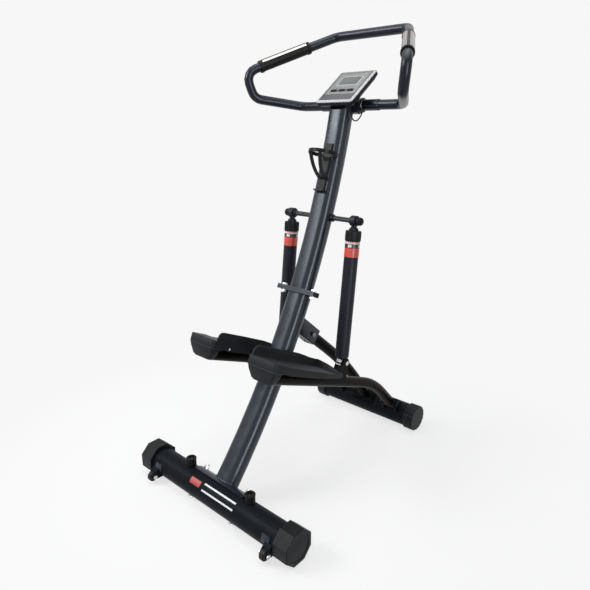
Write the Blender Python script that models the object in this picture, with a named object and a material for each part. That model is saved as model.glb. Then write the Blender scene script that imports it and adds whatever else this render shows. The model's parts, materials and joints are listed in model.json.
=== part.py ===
"""Stair stepper with two hydraulic dampers, a curved post and a closed handlebar loop.

Frame: X is the user's right, Y runs forward from the rear stabiliser to the front one, Z is up.
The origin is on the floor below the middle of the machine. Lengths are in metres.
"""
import math

import bmesh
import bpy
from mathutils import Matrix, Vector

for old in list(bpy.data.objects):
    bpy.data.objects.remove(old, do_unlink=True)

# Sizes of the base
GAP = 0.0003
REAR_TUBE_R = 0.037
REAR_WIDTH = 0.575
CAP_LENGTH = 0.045
CAP_ACROSS_FLATS = 0.0874
CAP_END_WALL = 0.008
CAP_RISE = 0.0023
FRONT_TUBE_R = 0.038
FRONT_WIDTH = 0.400
FRONT_CAP_R = 0.0424
FRONT_CAP_LENGTH = 0.034
FRONT_CAP_FLAT = 0.001
FRONT_CAP_RIBS = 16
BASE_LENGTH = 0.703
WHEEL_R = 0.0145
WHEEL_WIDTH = 0.017
WHEEL_INSET = 0.0635
WHEEL_BACK = 0.051
WHEEL_Z = 0.0225
AXLE_R = 0.004
BUMPER_X = 0.1165
BUMPER_Y = 0.008
BUMPER_R = 0.0135
BUMPER_HEIGHT = 0.024
SADDLE_HALF_LENGTH = 0.095
SADDLE_PLATE = 0.005
SADDLE_ANGLE = 44.0
SADDLE_SPREAD = 44.0
SADDLE_BOLT_X = 0.082
SADDLE_BOLT_R = 0.004

# Sizes of the post and its strut
POST_WIDTH = 0.066
POST_DEPTH = 0.048
POST_CORNER = 0.0185
POST_START_Y = 0.0139
POST_START_ANGLE = 49.5
POST_RADIUS = 2.283
POST_TOP_AT = 1.175
FLANGE_AT = 0.5863
FLANGE_BACK = 0.012
FLANGE_PLATE = 0.0065
FLANGE_BOLT_X = 0.054
FLANGE_REAR = 0.022
FLANGE_FRONT = 0.038
FLANGE_BOLT_R = 0.004
STUB_END = (0.3845, 0.3805)
STUB_ANGLE = -40.0
STUB_LENGTH = 0.118
STUB_WIDTH = 0.040
STUB_HEIGHT = 0.048
STUB_BORE_DEPTH = 0.050
STRUT_R = 0.017
STRUT_STRAIGHT = 0.100
STRUT_BOLT_BACK = 0.026
STRUT_SADDLE_HALF = 0.042
STRUT_SADDLE_PLATE = 0.004

# Sizes of the pedal arms, their pivots and the pedals
ARM_X = 0.112
ARM_R = 0.0160
ARM_HEEL = (0.086, 0.388)
ARM_KNEE = (0.553, 0.2018)
ARM_BEND_R = 0.32
PIVOT = (0.668, 0.087)
PIVOT_BOLT_R = 0.006
PIVOT_SLEEVE_R = 0.0172
PIVOT_SLEEVE_LENGTH = 0.042
PIVOT_EAR = 0.005
PIVOT_EAR_R = 0.0155
PEDAL_WIDTH = 0.097
PEDAL_LENGTH = 0.292
PEDAL_HEEL = (0.066, 0.4468)
PEDAL_SLOPE = 24.5
TRAY_DEPTH = 0.0217
TRAY_FLOOR = 0.005
TRAY_WALL = 0.0032
HEEL_LEDGE = 0.052
HEEL_STEP = 0.0035
GUARD_HEIGHT = 0.0245
GUARD_THICK = 0.004
GUARD_FOOT = 0.010
LIP_FOOT = 0.0125
GUARD_LINE = ((0.041, 0.20), (0.048, 0.60), (0.068, 0.90), (0.103, 0.99), (0.38, 1.00), (0.66, 0.96),
              (0.75, 0.86), (0.83, 0.73), (0.92, 0.66))
LIP_LINE = ((0.0, 0.66), (0.35, 0.51), (0.56, 0.35), (0.77, 0.13), (0.97, -0.04))
SKIRT_LINE = ((0.21, 0.0237), (0.31, 0.0229), (0.46, 0.0223), (0.66, 0.0204), (0.85, 0.0153), (1.03, 0.0107),
              (1.08, 0.0095))
RIB_LINE = ((0.24, 0.0225), (0.43, 0.0217), (0.62, 0.0198), (0.80, 0.0155))
SEAT_HALF = 0.0115
SEAT_DEPTH = 0.0355
HEEL_BLOCK_DEPTH = 0.034
HEEL_BLOCK_LENGTH = 0.034
TRAY_RIB = 0.0032

# Sizes of the dampers
CROSSROD_AT = (0.4255, 0.732)
CROSSROD_R = 0.007
CROSSROD_REACH = 0.1345
EYE_R = 0.0145
EYE_WIDTH = 0.016
KNOB_R = 0.022
KNOB_START = 0.0263
KNOB_LENGTH = 0.028
KNOB_FLUTES = 8
NECK_R = 0.009
DAMPER_R = 0.0200
DAMPER_END_GAP = 0.0010
ROD_R = 0.006
ROD_TOP = 0.212
LOWER_PIN = (0.389, 0.329)
LOWER_PIN_R = 0.004
LOWER_EYE_R = 0.0150
LOWER_EYE_PLAY = 0.0066
LOWER_EYE_OFFSET = (-0.0058, 0.0021)
CLEVIS_PLATE = 0.004
CLEVIS_R = 0.0145

# Sizes of the handlebar, its clamp and the pulse grips
BAR_R = 0.0132
BAR_LOW = (0.5450, 1.0320)
BAR_LOW_HALF = 0.172
BAR_TURN = (0.2480, 0.4110, 1.0530)
BAR_SIDE = (0.2650, 0.3930, 1.1230)
BAR_FRONT = (0.1220, 0.6350, 1.2290)
BAR_BEND = 0.033
BAR_SLEEVE_R = 0.0150
BAR_SLEEVE_HALF = 0.098
CLAMP_HALF = 0.045
CLAMP_R = 0.0195
GRIP_START = 0.046
GRIP_LENGTH = 0.162
GRIP_R = 0.0158
GRIP_COLLAR_R = 0.0174
GRIP_COLLAR = 0.009
PLATE_THICK = 0.0009

# Sizes of the console and the bottle cage
CONSOLE_EDGE = (0.4631, 1.0412)
CONSOLE_SLOPE = 35.9
CONSOLE_WIDTH = 0.1229
CONSOLE_LENGTH = 0.1455
CONSOLE_DEPTH = 0.022
CONSOLE_CORNER = 0.006
BEZEL_THICK = 0.0045
BEZEL_BEVEL = 0.005
LENS_HALF = 0.031
LENS_LOW = 0.078
LENS_HIGH = 0.113
BUTTON_X = 0.028
BUTTON_AT = 0.050
BUTTON_SIZE = (0.018, 0.008)
BRACKET_PLATE = 0.004
CABLE_R = 0.0017
CABLE_EXIT_X = 0.0520
CABLE_EXIT_ANGLE = -130.0
CABLE_ROUTE = ((0.0514, 0.5295, 1.0105), (0.0503, 0.5240, 1.0015), (0.0485, 0.5180, 0.9945),
               (0.0460, 0.5110, 0.9905), (0.0433, 0.5040, 0.9915), (0.0412, 0.4985, 0.9975),
               (0.0402, 0.4952, 1.0070))
CABLE_END = (0.0400, 0.0102)
CAGE_TOP_AT = 0.974
CAGE_SPINE_RISE = 0.032
CAGE_BOTTOM_AT = 0.868
CAGE_STRIP_LOW = 0.905
CAGE_STRIP_X = 0.017
CAGE_STRIP_HALF = 0.0050
CAGE_RING_R = 0.042
CAGE_RING_BACK = 0.022
CAGE_RING_HEIGHT = 0.010
CAGE_STRIP = 0.0036
CAGE_SPINE_HALF = 0.013
CAGE_SPINE_THICK = 0.005
CAGE_SHELF = 0.016

# Everything hangs from one empty, so that the origin is below the middle of the machine
rear_reach = WHEEL_BACK + WHEEL_R
front_reach = BASE_LENGTH + FRONT_CAP_R
MIDDLE = (front_reach - rear_reach) / 2.0
REAR_Z = CAP_ACROSS_FLATS / 2.0 - CAP_RISE
FRONT_Z = FRONT_CAP_R - FRONT_CAP_FLAT
root = bpy.data.objects.new("machine_origin", None)
root.location = (0.0, -MIDDLE, 0.0)
bpy.context.scene.collection.objects.link(root)

X = Vector((1.0, 0.0, 0.0))
Y = Vector((0.0, 1.0, 0.0))
Z = Vector((0.0, 0.0, 1.0))


def finish(name, colour, roughness, metallic):
    material = bpy.data.materials.new(name)
    material.use_nodes = True
    shader = material.node_tree.nodes["Principled BSDF"]
    shader.inputs["Base Color"].default_value = (*colour, 1.0)
    shader.inputs["Roughness"].default_value = roughness
    shader.inputs["Metallic"].default_value = metallic
    material.diffuse_color = (*colour, 1.0)
    return material


def empty(name, place, parent=root):
    holder = bpy.data.objects.new(name, None)
    holder.location = Vector(place) - (Vector() if parent is root else Vector(parent["place"]))
    holder["place"] = list(place)
    holder.parent = parent
    bpy.context.scene.collection.objects.link(holder)
    return holder


def piece(name, bm, material=None, holder=None, smooth=True):
    """Turn a bmesh in machine coordinates into an object, with its origin on its holder."""
    bmesh.ops.remove_doubles(bm, verts=bm.verts, dist=1e-6)
    bmesh.ops.recalc_face_normals(bm, faces=bm.faces)
    mesh = bpy.data.meshes.new(name)
    bm.to_mesh(mesh)
    bm.free()
    if holder is not None:
        mesh.transform(Matrix.Translation(-Vector(holder["place"])))
    if smooth:
        mesh.shade_smooth()
        mesh.set_sharp_from_angle(angle=math.radians(32.0))
    body = bpy.data.objects.new(name, mesh)
    body.parent = holder if holder is not None else root
    if material is not None:
        mesh.materials.append(material)
    bpy.context.scene.collection.objects.link(body)
    return body


def tool(name, bm):
    """A solid that is joined to or cut from a piece and isn't a piece itself."""
    body = piece(name, bm, smooth=False)
    body.hide_render = True
    body.display_type = "WIRE"
    return body


def boolean(body, other, operation):
    step = body.modifiers.new(other.name, "BOOLEAN")
    step.operation = operation
    step.solver = "EXACT"
    step.object = other


def join(body, label, bm):
    boolean(body, tool(body.name + "_" + label, bm), "UNION")


def cut(body, label, bm):
    boolean(body, tool(body.name + "_" + label, bm), "DIFFERENCE")


def slab(outline, origin, u, v, n, low, high):
    """Extrude a flat outline, given along u and v from the origin, from low to high along n."""
    bm = bmesh.new()
    origin = Vector(origin)
    ring = [bm.verts.new(origin + u * a + v * b + n * low) for a, b in outline]
    face = bm.faces.new(ring)
    grown = bmesh.ops.extrude_face_region(bm, geom=[face])
    moved = [g for g in grown["geom"] if isinstance(g, bmesh.types.BMVert)]
    bmesh.ops.translate(bm, verts=moved, vec=n * (high - low))
    return bm


def loft(rings):
    """Skin a row of rings of points and close both ends."""
    bm = bmesh.new()
    rows = [[bm.verts.new(p) for p in ring] for ring in rings]
    count = len(rows[0])
    for row, after in zip(rows, rows[1:]):
        for i in range(count):
            j = (i + 1) % count
            bm.faces.new((row[i], row[j], after[j], after[i]))
    bm.faces.new(list(reversed(rows[0])))
    bm.faces.new(rows[-1])
    return bm


def turned(profile, origin, axis, segments):
    """Turn a closed profile of (radius, height) points about an axis through the origin."""
    bm = bmesh.new()
    axis = axis.normalized()
    side = axis.orthogonal().normalized() if abs(axis.x) < 0.9 else Z.copy()
    origin = Vector(origin)
    verts = [bm.verts.new(origin + side * r + axis * h) for r, h in profile]
    edges = [bm.edges.new((verts[i], verts[(i + 1) % len(verts)])) for i in range(len(verts))
             if profile[i][0] > 1e-7 or profile[(i + 1) % len(verts)][0] > 1e-7]
    bmesh.ops.spin(bm, geom=verts + edges, cent=origin, axis=axis,
                   angle=2.0 * math.pi, steps=segments, use_merge=True)
    bmesh.ops.remove_doubles(bm, verts=bm.verts, dist=1e-6)
    return bm


def rod(origin, axis, radius, low, high, segments, chamfer=0.0):
    c = chamfer
    profile = [(0.0, low), (radius - c, low)] + ([(radius, low + c), (radius, high - c)] if c else [])
    profile += [(radius - c, high), (0.0, high)]
    return turned(profile, origin, axis, segments)


def swept(points, radius, sides, closed=False):
    """A round tube along points, from a bevelled poly curve with filled ends."""
    curve = bpy.data.curves.new("route", "CURVE")
    curve.dimensions = "3D"
    curve.bevel_depth = radius
    curve.bevel_resolution = sides // 2 - 2
    curve.use_fill_caps = True
    spline = curve.splines.new("POLY")
    spline.points.add(len(points) - 1)
    for point, place in zip(spline.points, points):
        point.co = (*place, 1.0)
    spline.use_cyclic_u = closed
    guide = bpy.data.objects.new("route", curve)
    mesh = bpy.data.meshes.new_from_object(guide)
    bm = bmesh.new()
    bm.from_mesh(mesh)
    bpy.data.objects.remove(guide)
    bpy.data.meshes.remove(mesh)
    bmesh.ops.remove_doubles(bm, verts=bm.verts, dist=1e-6)
    return bm


def rounded(width, depth, corner, steps):
    """Outline of a rectangle with round corners, centred on zero."""
    points = []
    for k in range(4):
        sx = (1, -1, -1, 1)[k]
        sy = (1, 1, -1, -1)[k]
        for i in range(steps + 1):
            a = math.radians(90.0 * k + 90.0 * i / steps)
            points.append((sx * (width / 2 - corner) + corner * math.cos(a),
                           sy * (depth / 2 - corner) + corner * math.sin(a)))
    return points


def arc(centre, radius, start, end, steps):
    return [(centre[0] + radius * math.cos(math.radians(start + (end - start) * i / steps)),
             centre[1] + radius * math.sin(math.radians(start + (end - start) * i / steps)))
            for i in range(steps + 1)]


def hull_of_circles(a, ra, b, rb, steps):
    """Outline of two circles joined by their outer tangents, as for an ear or a lever."""
    dx, dy = b[0] - a[0], b[1] - a[1]
    turn = math.degrees(math.atan2(dy, dx))
    lean = math.degrees(math.acos((ra - rb) / math.hypot(dx, dy)))
    return (arc(b, rb, turn - lean, turn + lean, steps)
            + arc(a, ra, turn + lean, turn + 360.0 - lean, steps))


def smooth_corners(points, radii, steps):
    """Round the inner corners of a polyline by arcs, like bends in a tube."""
    points = [Vector(p) for p in points]
    out = [points[0]]
    for before, corner, after, radius in zip(points, points[1:], points[2:], radii):
        a = (before - corner)
        b = (after - corner)
        half = a.angle(b) / 2.0
        reach = min(radius / math.tan(half), 0.485 * a.length, 0.485 * b.length)
        bend = reach * math.tan(half)
        a.normalize()
        b.normalize()
        centre = corner + (a + b).normalized() * (bend / math.sin(half))
        first = corner + a * reach - centre
        last = corner + b * reach - centre
        sweep = first.angle(last)
        across = (last - first * math.cos(sweep)) / math.sin(sweep)
        for i in range(steps + 1):
            t = sweep * i / steps
            out.append(centre + first * math.cos(t) + across * math.sin(t))
    out.append(points[-1])
    return out


def smooth_route(points, steps):
    """A smooth curve through points, as a flexible cable lies."""
    ends = [points[0] * 2 - points[1]] + points + [points[-1] * 2 - points[-2]]
    out = []
    for a, b, c, d in zip(ends, ends[1:], ends[2:], ends[3:]):
        for i in range(steps):
            t = i / steps
            out.append(((b * 2) + (c - a) * t + (a * 2 - b * 5 + c * 4 - d) * t ** 2
                        + (b * 3 - a - c * 3 + d) * t ** 3) * 0.5)
    out.append(points[-1])
    return out


def yz(pair, x=0.0):
    return Vector((x, pair[0], pair[1]))


def direction(degrees):
    """Unit vector in the machine's side plane, measured up from forward."""
    a = math.radians(degrees)
    return Vector((0.0, math.cos(a), math.sin(a)))


def post_point(s):
    a0 = math.radians(POST_START_ANGLE)
    a = a0 + s / POST_RADIUS
    return Vector((0.0, POST_START_Y + POST_RADIUS * (math.sin(a) - math.sin(a0)),
                   REAR_Z - POST_RADIUS * (math.cos(a) - math.cos(a0))))


def post_axis(s):
    return direction(POST_START_ANGLE + math.degrees(s / POST_RADIUS))


def post_front(s):
    return direction(POST_START_ANGLE + math.degrees(s / POST_RADIUS) - 90.0)


def post_skin(low, high, count, steps=4):
    rings = []
    for i in range(count + 1):
        s = low + (high - low) * i / count
        rings.append([post_point(s) + X * a + post_front(s) * b
                      for a, b in rounded(POST_WIDTH, POST_DEPTH, POST_CORNER, steps)])
    return loft(rings)


# Finishes: satin blue-black paint, moulded plastics, rubber, bright steel
paint = finish("post_paint", (0.045, 0.052, 0.066), 0.34, 0.35)
tube_paint = finish("tube_paint", (0.028, 0.031, 0.038), 0.36, 0.30)
strut_paint = finish("strut_paint", (0.020, 0.020, 0.022), 0.38, 0.25)
arm_paint = finish("arm_paint", (0.036, 0.031, 0.029), 0.33, 0.30)
plastic = finish("moulded_plastic", (0.022, 0.023, 0.026), 0.48, 0.0)
pedal_plastic = finish("pedal_plastic", (0.026, 0.028, 0.032), 0.55, 0.0)
rubber = finish("rubber", (0.014, 0.014, 0.015), 0.62, 0.0)
damper_paint = finish("damper_paint", (0.020, 0.021, 0.026), 0.36, 0.1)
steel = finish("bright_steel", (0.62, 0.63, 0.65), 0.22, 1.0)
dark_steel = finish("dark_steel", (0.045, 0.048, 0.055), 0.34, 0.7)
grip_plastic = finish("grip_plastic", (0.018, 0.018, 0.020), 0.50, 0.0)
silver = finish("console_silver", (0.46, 0.47, 0.48), 0.34, 0.45)
glass = finish("display_grey", (0.20, 0.22, 0.23), 0.18, 0.0)
key_plastic = finish("key_plastic", (0.05, 0.055, 0.06), 0.45, 0.0)

# Rear stabiliser: a plain round tube whose ends are carried in the caps
rear_centre = Vector((0.0, 0.0, REAR_Z))
cap_seat = REAR_WIDTH / 2 - CAP_END_WALL - GAP
piece("rear_stabiliser", rod(rear_centre, X, REAR_TUBE_R, -cap_seat, cap_seat, 36), tube_paint)

# Rear levelling caps: eight flats, a round bore set off their middle, a dished end
cap_mid = Vector((0.0, 0.0, CAP_ACROSS_FLATS / 2))
eight = [(CAP_ACROSS_FLATS / 2 / math.cos(math.pi / 8) * math.cos(math.pi / 8 + k * math.pi / 4),
          CAP_ACROSS_FLATS / 2 / math.cos(math.pi / 8) * math.sin(math.pi / 8 + k * math.pi / 4))
         for k in range(8)]
for side, label in ((1, "right"), (-1, "left")):
    outer = REAR_WIDTH / 2
    inner = outer - CAP_LENGTH
    turn_at = empty("rear_cap_%s_axis" % label, rear_centre + X * side * (outer - CAP_LENGTH / 2))
    small = [(a * 0.965, b * 0.965) for a, b in eight]
    rings = [[cap_mid + X * side * x + Y * a + Z * b for a, b in shape]
             for x, shape in ((inner, eight), (outer - 0.002, eight), (outer, small))]
    cap = piece("rear_cap_" + label, loft(rings), rubber, turn_at)
    cut(cap, "bore", rod(rear_centre, X * side, REAR_TUBE_R + 0.0004, inner - 0.01, cap_seat + GAP, 36))
    cut(cap, "dish", rod(cap_mid, X * side, CAP_ACROSS_FLATS * 0.405, outer - 0.0015, outer + 0.01, 24))

# Transport wheels: each turns on a plain axle in a bent bracket behind the tube
wheel_x = REAR_WIDTH / 2 - WHEEL_INSET
for side, label in ((1, "right"), (-1, "left")):
    hub = Vector((side * wheel_x, -WHEEL_BACK, WHEEL_Z))
    holder = empty("wheel_%s_axis" % label, hub)
    half = WHEEL_WIDTH / 2
    profile = [(AXLE_R + 0.0004, -half), (0.0085, -half), (WHEEL_R - 0.0015, -half + 0.0015),
               (WHEEL_R, -half + 0.0035), (WHEEL_R, half - 0.0035), (WHEEL_R - 0.0015, half - 0.0015),
               (0.0085, half), (AXLE_R + 0.0004, half)]
    piece("transport_wheel_" + label, turned(profile, hub, X, 16), plastic, holder)
    away = hub - rear_centre
    away.x = 0.0
    cheek = 0.0025
    reach = half + GAP * 2 + cheek
    plate = hull_of_circles((hub.y, hub.z), 0.0072, (0.0, REAR_Z), 0.030, 4)
    bracket = piece("wheel_bracket_" + label,
                    slab(plate, (hub.x, 0.0, 0.0), Y, Z, X, -reach, reach), tube_paint)
    cut(bracket, "seat", rod(rear_centre, X, REAR_TUBE_R + 0.0004, side * wheel_x - 0.03,
                             side * wheel_x + 0.03, 36))
    fork = rod(hub, X, WHEEL_R + 0.0012, -half - GAP * 2, half + GAP * 2, 18)
    cut(bracket, "fork", fork)
    slot = [(-0.03, -0.012), (0.0, -0.012), (0.0, 0.012), (-0.03, 0.012)]
    cut(bracket, "mouth", slab(slot, hub, -away.normalized(), away.normalized().cross(X), X,
                               -half - GAP * 2, half + GAP * 2))
    cut(bracket, "axle_hole", rod(hub, X, AXLE_R + 0.0004, -0.03, 0.03, 12))
    ends = reach + 0.0025
    profile = [(0.0, -ends), (0.0060, -ends), (0.0060, -reach - GAP), (AXLE_R, -reach - GAP),
               (AXLE_R, reach + GAP), (0.0060, reach + GAP), (0.0060, ends), (0.0, ends)]
    piece("wheel_axle_" + label, turned(profile, hub, X, 12), steel)

# Rubber stops for the pedals, standing on the rear tube
for side, label in ((1, "right"), (-1, "left")):
    foot = Vector((side * BUMPER_X, BUMPER_Y, REAR_Z))
    top = REAR_TUBE_R + BUMPER_HEIGHT
    profile = [(0.0, 0.02), (BUMPER_R, 0.02), (BUMPER_R, top - 0.0060), (BUMPER_R + 0.0010, top - 0.0045),
               (BUMPER_R + 0.0010, top - 0.0015), (BUMPER_R - 0.0005, top), (0.0075, top),
               (0.0068, top - 0.007), (0.0, top - 0.007)]
    stop = piece("bumper_" + label, turned(profile, foot, Z, 14), rubber)
    cut(stop, "seat", rod(rear_centre, X, REAR_TUBE_R + 0.0004, side * BUMPER_X - 0.03,
                          side * BUMPER_X + 0.03, 36))

# Lower post: saddle plate on the rear tube, bowed tube, flange and the socket for the strut
lower = piece("lower_post", post_skin(0.012, FLANGE_AT - FLANGE_PLATE / 2, 7, 3), paint)
sector = (arc((0.0, REAR_Z), REAR_TUBE_R - 0.004, SADDLE_ANGLE + SADDLE_SPREAD,
              SADDLE_ANGLE - SADDLE_SPREAD, 12)
          + arc((0.0, REAR_Z), REAR_TUBE_R + 0.0004 + SADDLE_PLATE, SADDLE_ANGLE - SADDLE_SPREAD,
                SADDLE_ANGLE + SADDLE_SPREAD, 12))
join(lower, "saddle", slab(sector, (0.0, 0.0, 0.0), Y, Z, X, -SADDLE_HALF_LENGTH, SADDLE_HALF_LENGTH))
ear = FLANGE_BOLT_X + 0.012
flange = [(ear - 0.006, -FLANGE_REAR), (ear, -FLANGE_REAR + 0.006), (ear, 0.012), (ear - 0.008, 0.018),
          (POST_WIDTH / 2 + 0.004, FLANGE_FRONT - 0.006), (POST_WIDTH / 2 - 0.002, FLANGE_FRONT)]
flange += [(-a, b) for a, b in reversed(flange)]
flange_up = post_axis(FLANGE_AT)
flange_front = post_front(FLANGE_AT)
flange_at = post_point(FLANGE_AT) - flange_front * FLANGE_BACK
join(lower, "flange", slab(flange, flange_at, X, flange_front, flange_up, -FLANGE_PLATE, -GAP / 2))
stub_dir = direction(STUB_ANGLE)
stub_up = direction(STUB_ANGLE + 90.0)
stub_end = yz(STUB_END)
join(lower, "stub", slab(rounded(STUB_WIDTH, STUB_HEIGHT, 0.004, 2), stub_end, X, stub_up, -stub_dir,
                         0.0, STUB_LENGTH))
cut(lower, "tube_seat", rod(rear_centre, X, REAR_TUBE_R + 0.0004, -0.15, 0.15, 36))
cut(lower, "stub_bore", rod(stub_end, -stub_dir, STRUT_R + 0.0004, -0.01, STUB_BORE_DEPTH, 20))
cut(lower, "stub_bolt_hole", rod(stub_end - stub_dir * STRUT_BOLT_BACK, X, 0.0045, -0.04, 0.04, 12))
saddle_dir = direction(SADDLE_ANGLE)
for side, label in ((1, "right"), (-1, "left")):
    cut(lower, "flange_hole_" + label,
        rod(flange_at + X * side * FLANGE_BOLT_X, flange_up, FLANGE_BOLT_R + 0.0004, -0.02, 0.02, 12))
    cut(lower, "saddle_hole_" + label,
        rod(rear_centre + X * side * SADDLE_BOLT_X, saddle_dir, SADDLE_BOLT_R + 0.0004, 0.02, 0.06, 12))

# Saddle bolts with domed nuts on the plate, their heads below the tube are on its far side
for side, label in ((1, "right"), (-1, "left")):
    seat = REAR_TUBE_R + 0.0004 + SADDLE_PLATE + GAP
    profile = [(0.0, REAR_TUBE_R + 0.0004), (SADDLE_BOLT_R, REAR_TUBE_R + 0.0004), (SADDLE_BOLT_R, seat),
               (0.0085, seat), (0.0085, seat + 0.0015), (0.0066, seat + 0.0016), (0.0066, seat + 0.0070),
               (0.0045, seat + 0.0115), (0.0, seat + 0.0130)]
    piece("saddle_nut_" + label,
          turned(profile, rear_centre + X * side * SADDLE_BOLT_X, saddle_dir, 12), steel)
    low = REAR_TUBE_R + GAP
    crown = [(0.0, low), (0.0085, low + 0.0012), (0.0085, low + 0.0020), (0.0060, low + 0.0042),
             (0.0, low + 0.0052)]
    head = piece("saddle_bolt_head_" + label,
                 turned(crown, rear_centre + X * side * SADDLE_BOLT_X, -saddle_dir, 12), steel)
    cut(head, "seat", rod(rear_centre, X, REAR_TUBE_R + 0.0004, side * SADDLE_BOLT_X - 0.02,
                          side * SADDLE_BOLT_X + 0.02, 36))

# Upper post: the same section bowed on, its flange, the cradle for the handlebar
slope = math.radians(CONSOLE_SLOPE)
con_up = Vector((0.0, math.cos(slope), math.sin(slope)))
con_out = Vector((0.0, -math.sin(slope), math.cos(slope)))
con_zero = yz(CONSOLE_EDGE)
head_top = -(CONSOLE_DEPTH + GAP * 2 + BRACKET_PLATE)
upper = piece("upper_post", post_skin(FLANGE_AT + FLANGE_PLATE / 2, POST_TOP_AT, 8, 3), paint)
join(upper, "flange", slab(flange, flange_at, X, flange_front, flange_up, GAP / 2, FLANGE_PLATE))
bar_low = yz(BAR_LOW)
split = bar_low.y
cradle = [(split - GAP / 2, -CLAMP_R), (split - GAP / 2, CLAMP_R), (split - 0.012, CLAMP_R - 0.003),
          (split - 0.027, 0.008), (split - 0.030, -CLAMP_R - 0.001), (split - 0.018, -CLAMP_R - 0.005)]
over = [(-0.2, 0.0), (0.2, 0.0), (0.2, 0.15), (-0.2, 0.15)]
cut(upper, "head_plane", slab(over, con_zero + con_out * (head_top - GAP), con_up, con_out, X, -0.1, 0.1))
join(upper, "cradle", slab(cradle, (0.0, 0.0, bar_low.z), Y, Z, X, -CLAMP_HALF, CLAMP_HALF))
cut(upper, "bar_seat", rod(bar_low, X, BAR_SLEEVE_R + 0.0002, -CLAMP_HALF - 0.01, CLAMP_HALF + 0.01, 24))
for side, label in ((1, "right"), (-1, "left")):
    cut(upper, "flange_hole_" + label,
        rod(flange_at + X * side * FLANGE_BOLT_X, flange_up, FLANGE_BOLT_R + 0.0004, -0.02, 0.02, 12))
cross_at = yz(CROSSROD_AT)
cut(upper, "crossrod_hole", rod(cross_at, X, CROSSROD_R + 0.0003, -0.05, 0.05, 24))

# Flange bolts: hexagon head above, nut below
for side, label in ((1, "right"), (-1, "left")):
    at = flange_at + X * side * FLANGE_BOLT_X
    top = FLANGE_PLATE + GAP
    hexagon = [(0.0074 * math.cos(math.radians(60 * k)), 0.0074 * math.sin(math.radians(60 * k)))
               for k in range(6)]
    bolt = piece("flange_bolt_" + label, rod(at, flange_up, FLANGE_BOLT_R, -FLANGE_PLATE - 0.008,
                                             top + 0.002, 12), steel)
    join(bolt, "head", slab(hexagon, at, X, flange_front, flange_up, top, top + 0.0055))
    join(bolt, "nut", slab(hexagon, at, X, flange_front, flange_up, -top - 0.0065, -top))

# Front strut: a bowed tube from the socket to a saddle on the front tube
front_centre = Vector((0.0, BASE_LENGTH, FRONT_Z))
bend_from = stub_end + stub_dir * STRUT_STRAIGHT
ahead = (front_centre - bend_from).dot(stub_dir)
below = -(front_centre - bend_from).dot(stub_up)
bend_radius = (ahead * ahead + below * below) / (2.0 * below)
bend_turn = 2.0 * math.atan2(below, ahead)
strut_points = [stub_end - stub_dir * (STUB_BORE_DEPTH - 0.004)]
for i in range(9):
    a = bend_turn * i / 8
    strut_points.append(bend_from + stub_dir * bend_radius * math.sin(a)
                        - stub_up * bend_radius * (1.0 - math.cos(a)))
strut = piece("front_strut", swept(strut_points, STRUT_R, 16), strut_paint)
foot_angle = STUB_ANGLE - math.degrees(bend_turn) + 180.0
foot = (arc((BASE_LENGTH, FRONT_Z), FRONT_TUBE_R - 0.004, foot_angle + 38, foot_angle - 38, 10)
        + arc((BASE_LENGTH, FRONT_Z), FRONT_TUBE_R + 0.0004 + STRUT_SADDLE_PLATE, foot_angle - 38,
              foot_angle + 38, 10))
join(strut, "saddle", slab(foot, (0.0, 0.0, 0.0), Y, Z, X, -STRUT_SADDLE_HALF, STRUT_SADDLE_HALF))
cut(strut, "tube_seat", rod(front_centre, X, FRONT_TUBE_R + 0.0004, -0.1, 0.1, 32))
cut(strut, "bolt_hole", rod(stub_end - stub_dir * STRUT_BOLT_BACK, X, 0.0045, -0.04, 0.04, 12))
half = STUB_WIDTH / 2 + GAP
strut_bolt = piece("strut_bolt", rod(stub_end - stub_dir * STRUT_BOLT_BACK, X, 0.004, -half - 0.008,
                                     half + 0.002, 12), dark_steel)
hexagon = [(0.0075 * math.cos(math.radians(60 * k)), 0.0075 * math.sin(math.radians(60 * k)))
           for k in range(6)]
join(strut_bolt, "head", slab(hexagon, stub_end - stub_dir * STRUT_BOLT_BACK, stub_dir, stub_up, X,
                              half, half + 0.0055))
join(strut_bolt, "nut", slab(hexagon, stub_end - stub_dir * STRUT_BOLT_BACK, stub_dir, stub_up, X,
                             -half - 0.0065, -half))

# Front stabiliser: round tube with two welded ears for each pedal pivot
front_seat = FRONT_WIDTH / 2 - 0.004 - GAP
front = piece("front_stabiliser", rod(front_centre, X, FRONT_TUBE_R, -front_seat, front_seat, 28),
              tube_paint)
ear_inner = PIVOT_SLEEVE_LENGTH / 2 + GAP
ears = hull_of_circles(PIVOT, PIVOT_EAR_R, (BASE_LENGTH, FRONT_Z), 0.026, 5)
for side, label in ((1, "right"), (-1, "left")):
    for inner, where in ((ear_inner, "outer"), (-ear_inner - PIVOT_EAR, "inner")):
        x = side * ARM_X + (inner if side > 0 else -inner - PIVOT_EAR)
        join(front, "ear_%s_%s" % (label, where), slab(ears, (0.0, 0.0, 0.0), Y, Z, X, x, x + PIVOT_EAR))
    cut(front, "pivot_hole_" + label,
        rod(yz(PIVOT), X, PIVOT_BOLT_R + 0.0004, side * ARM_X - 0.04, side * ARM_X + 0.04, 16))

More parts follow.
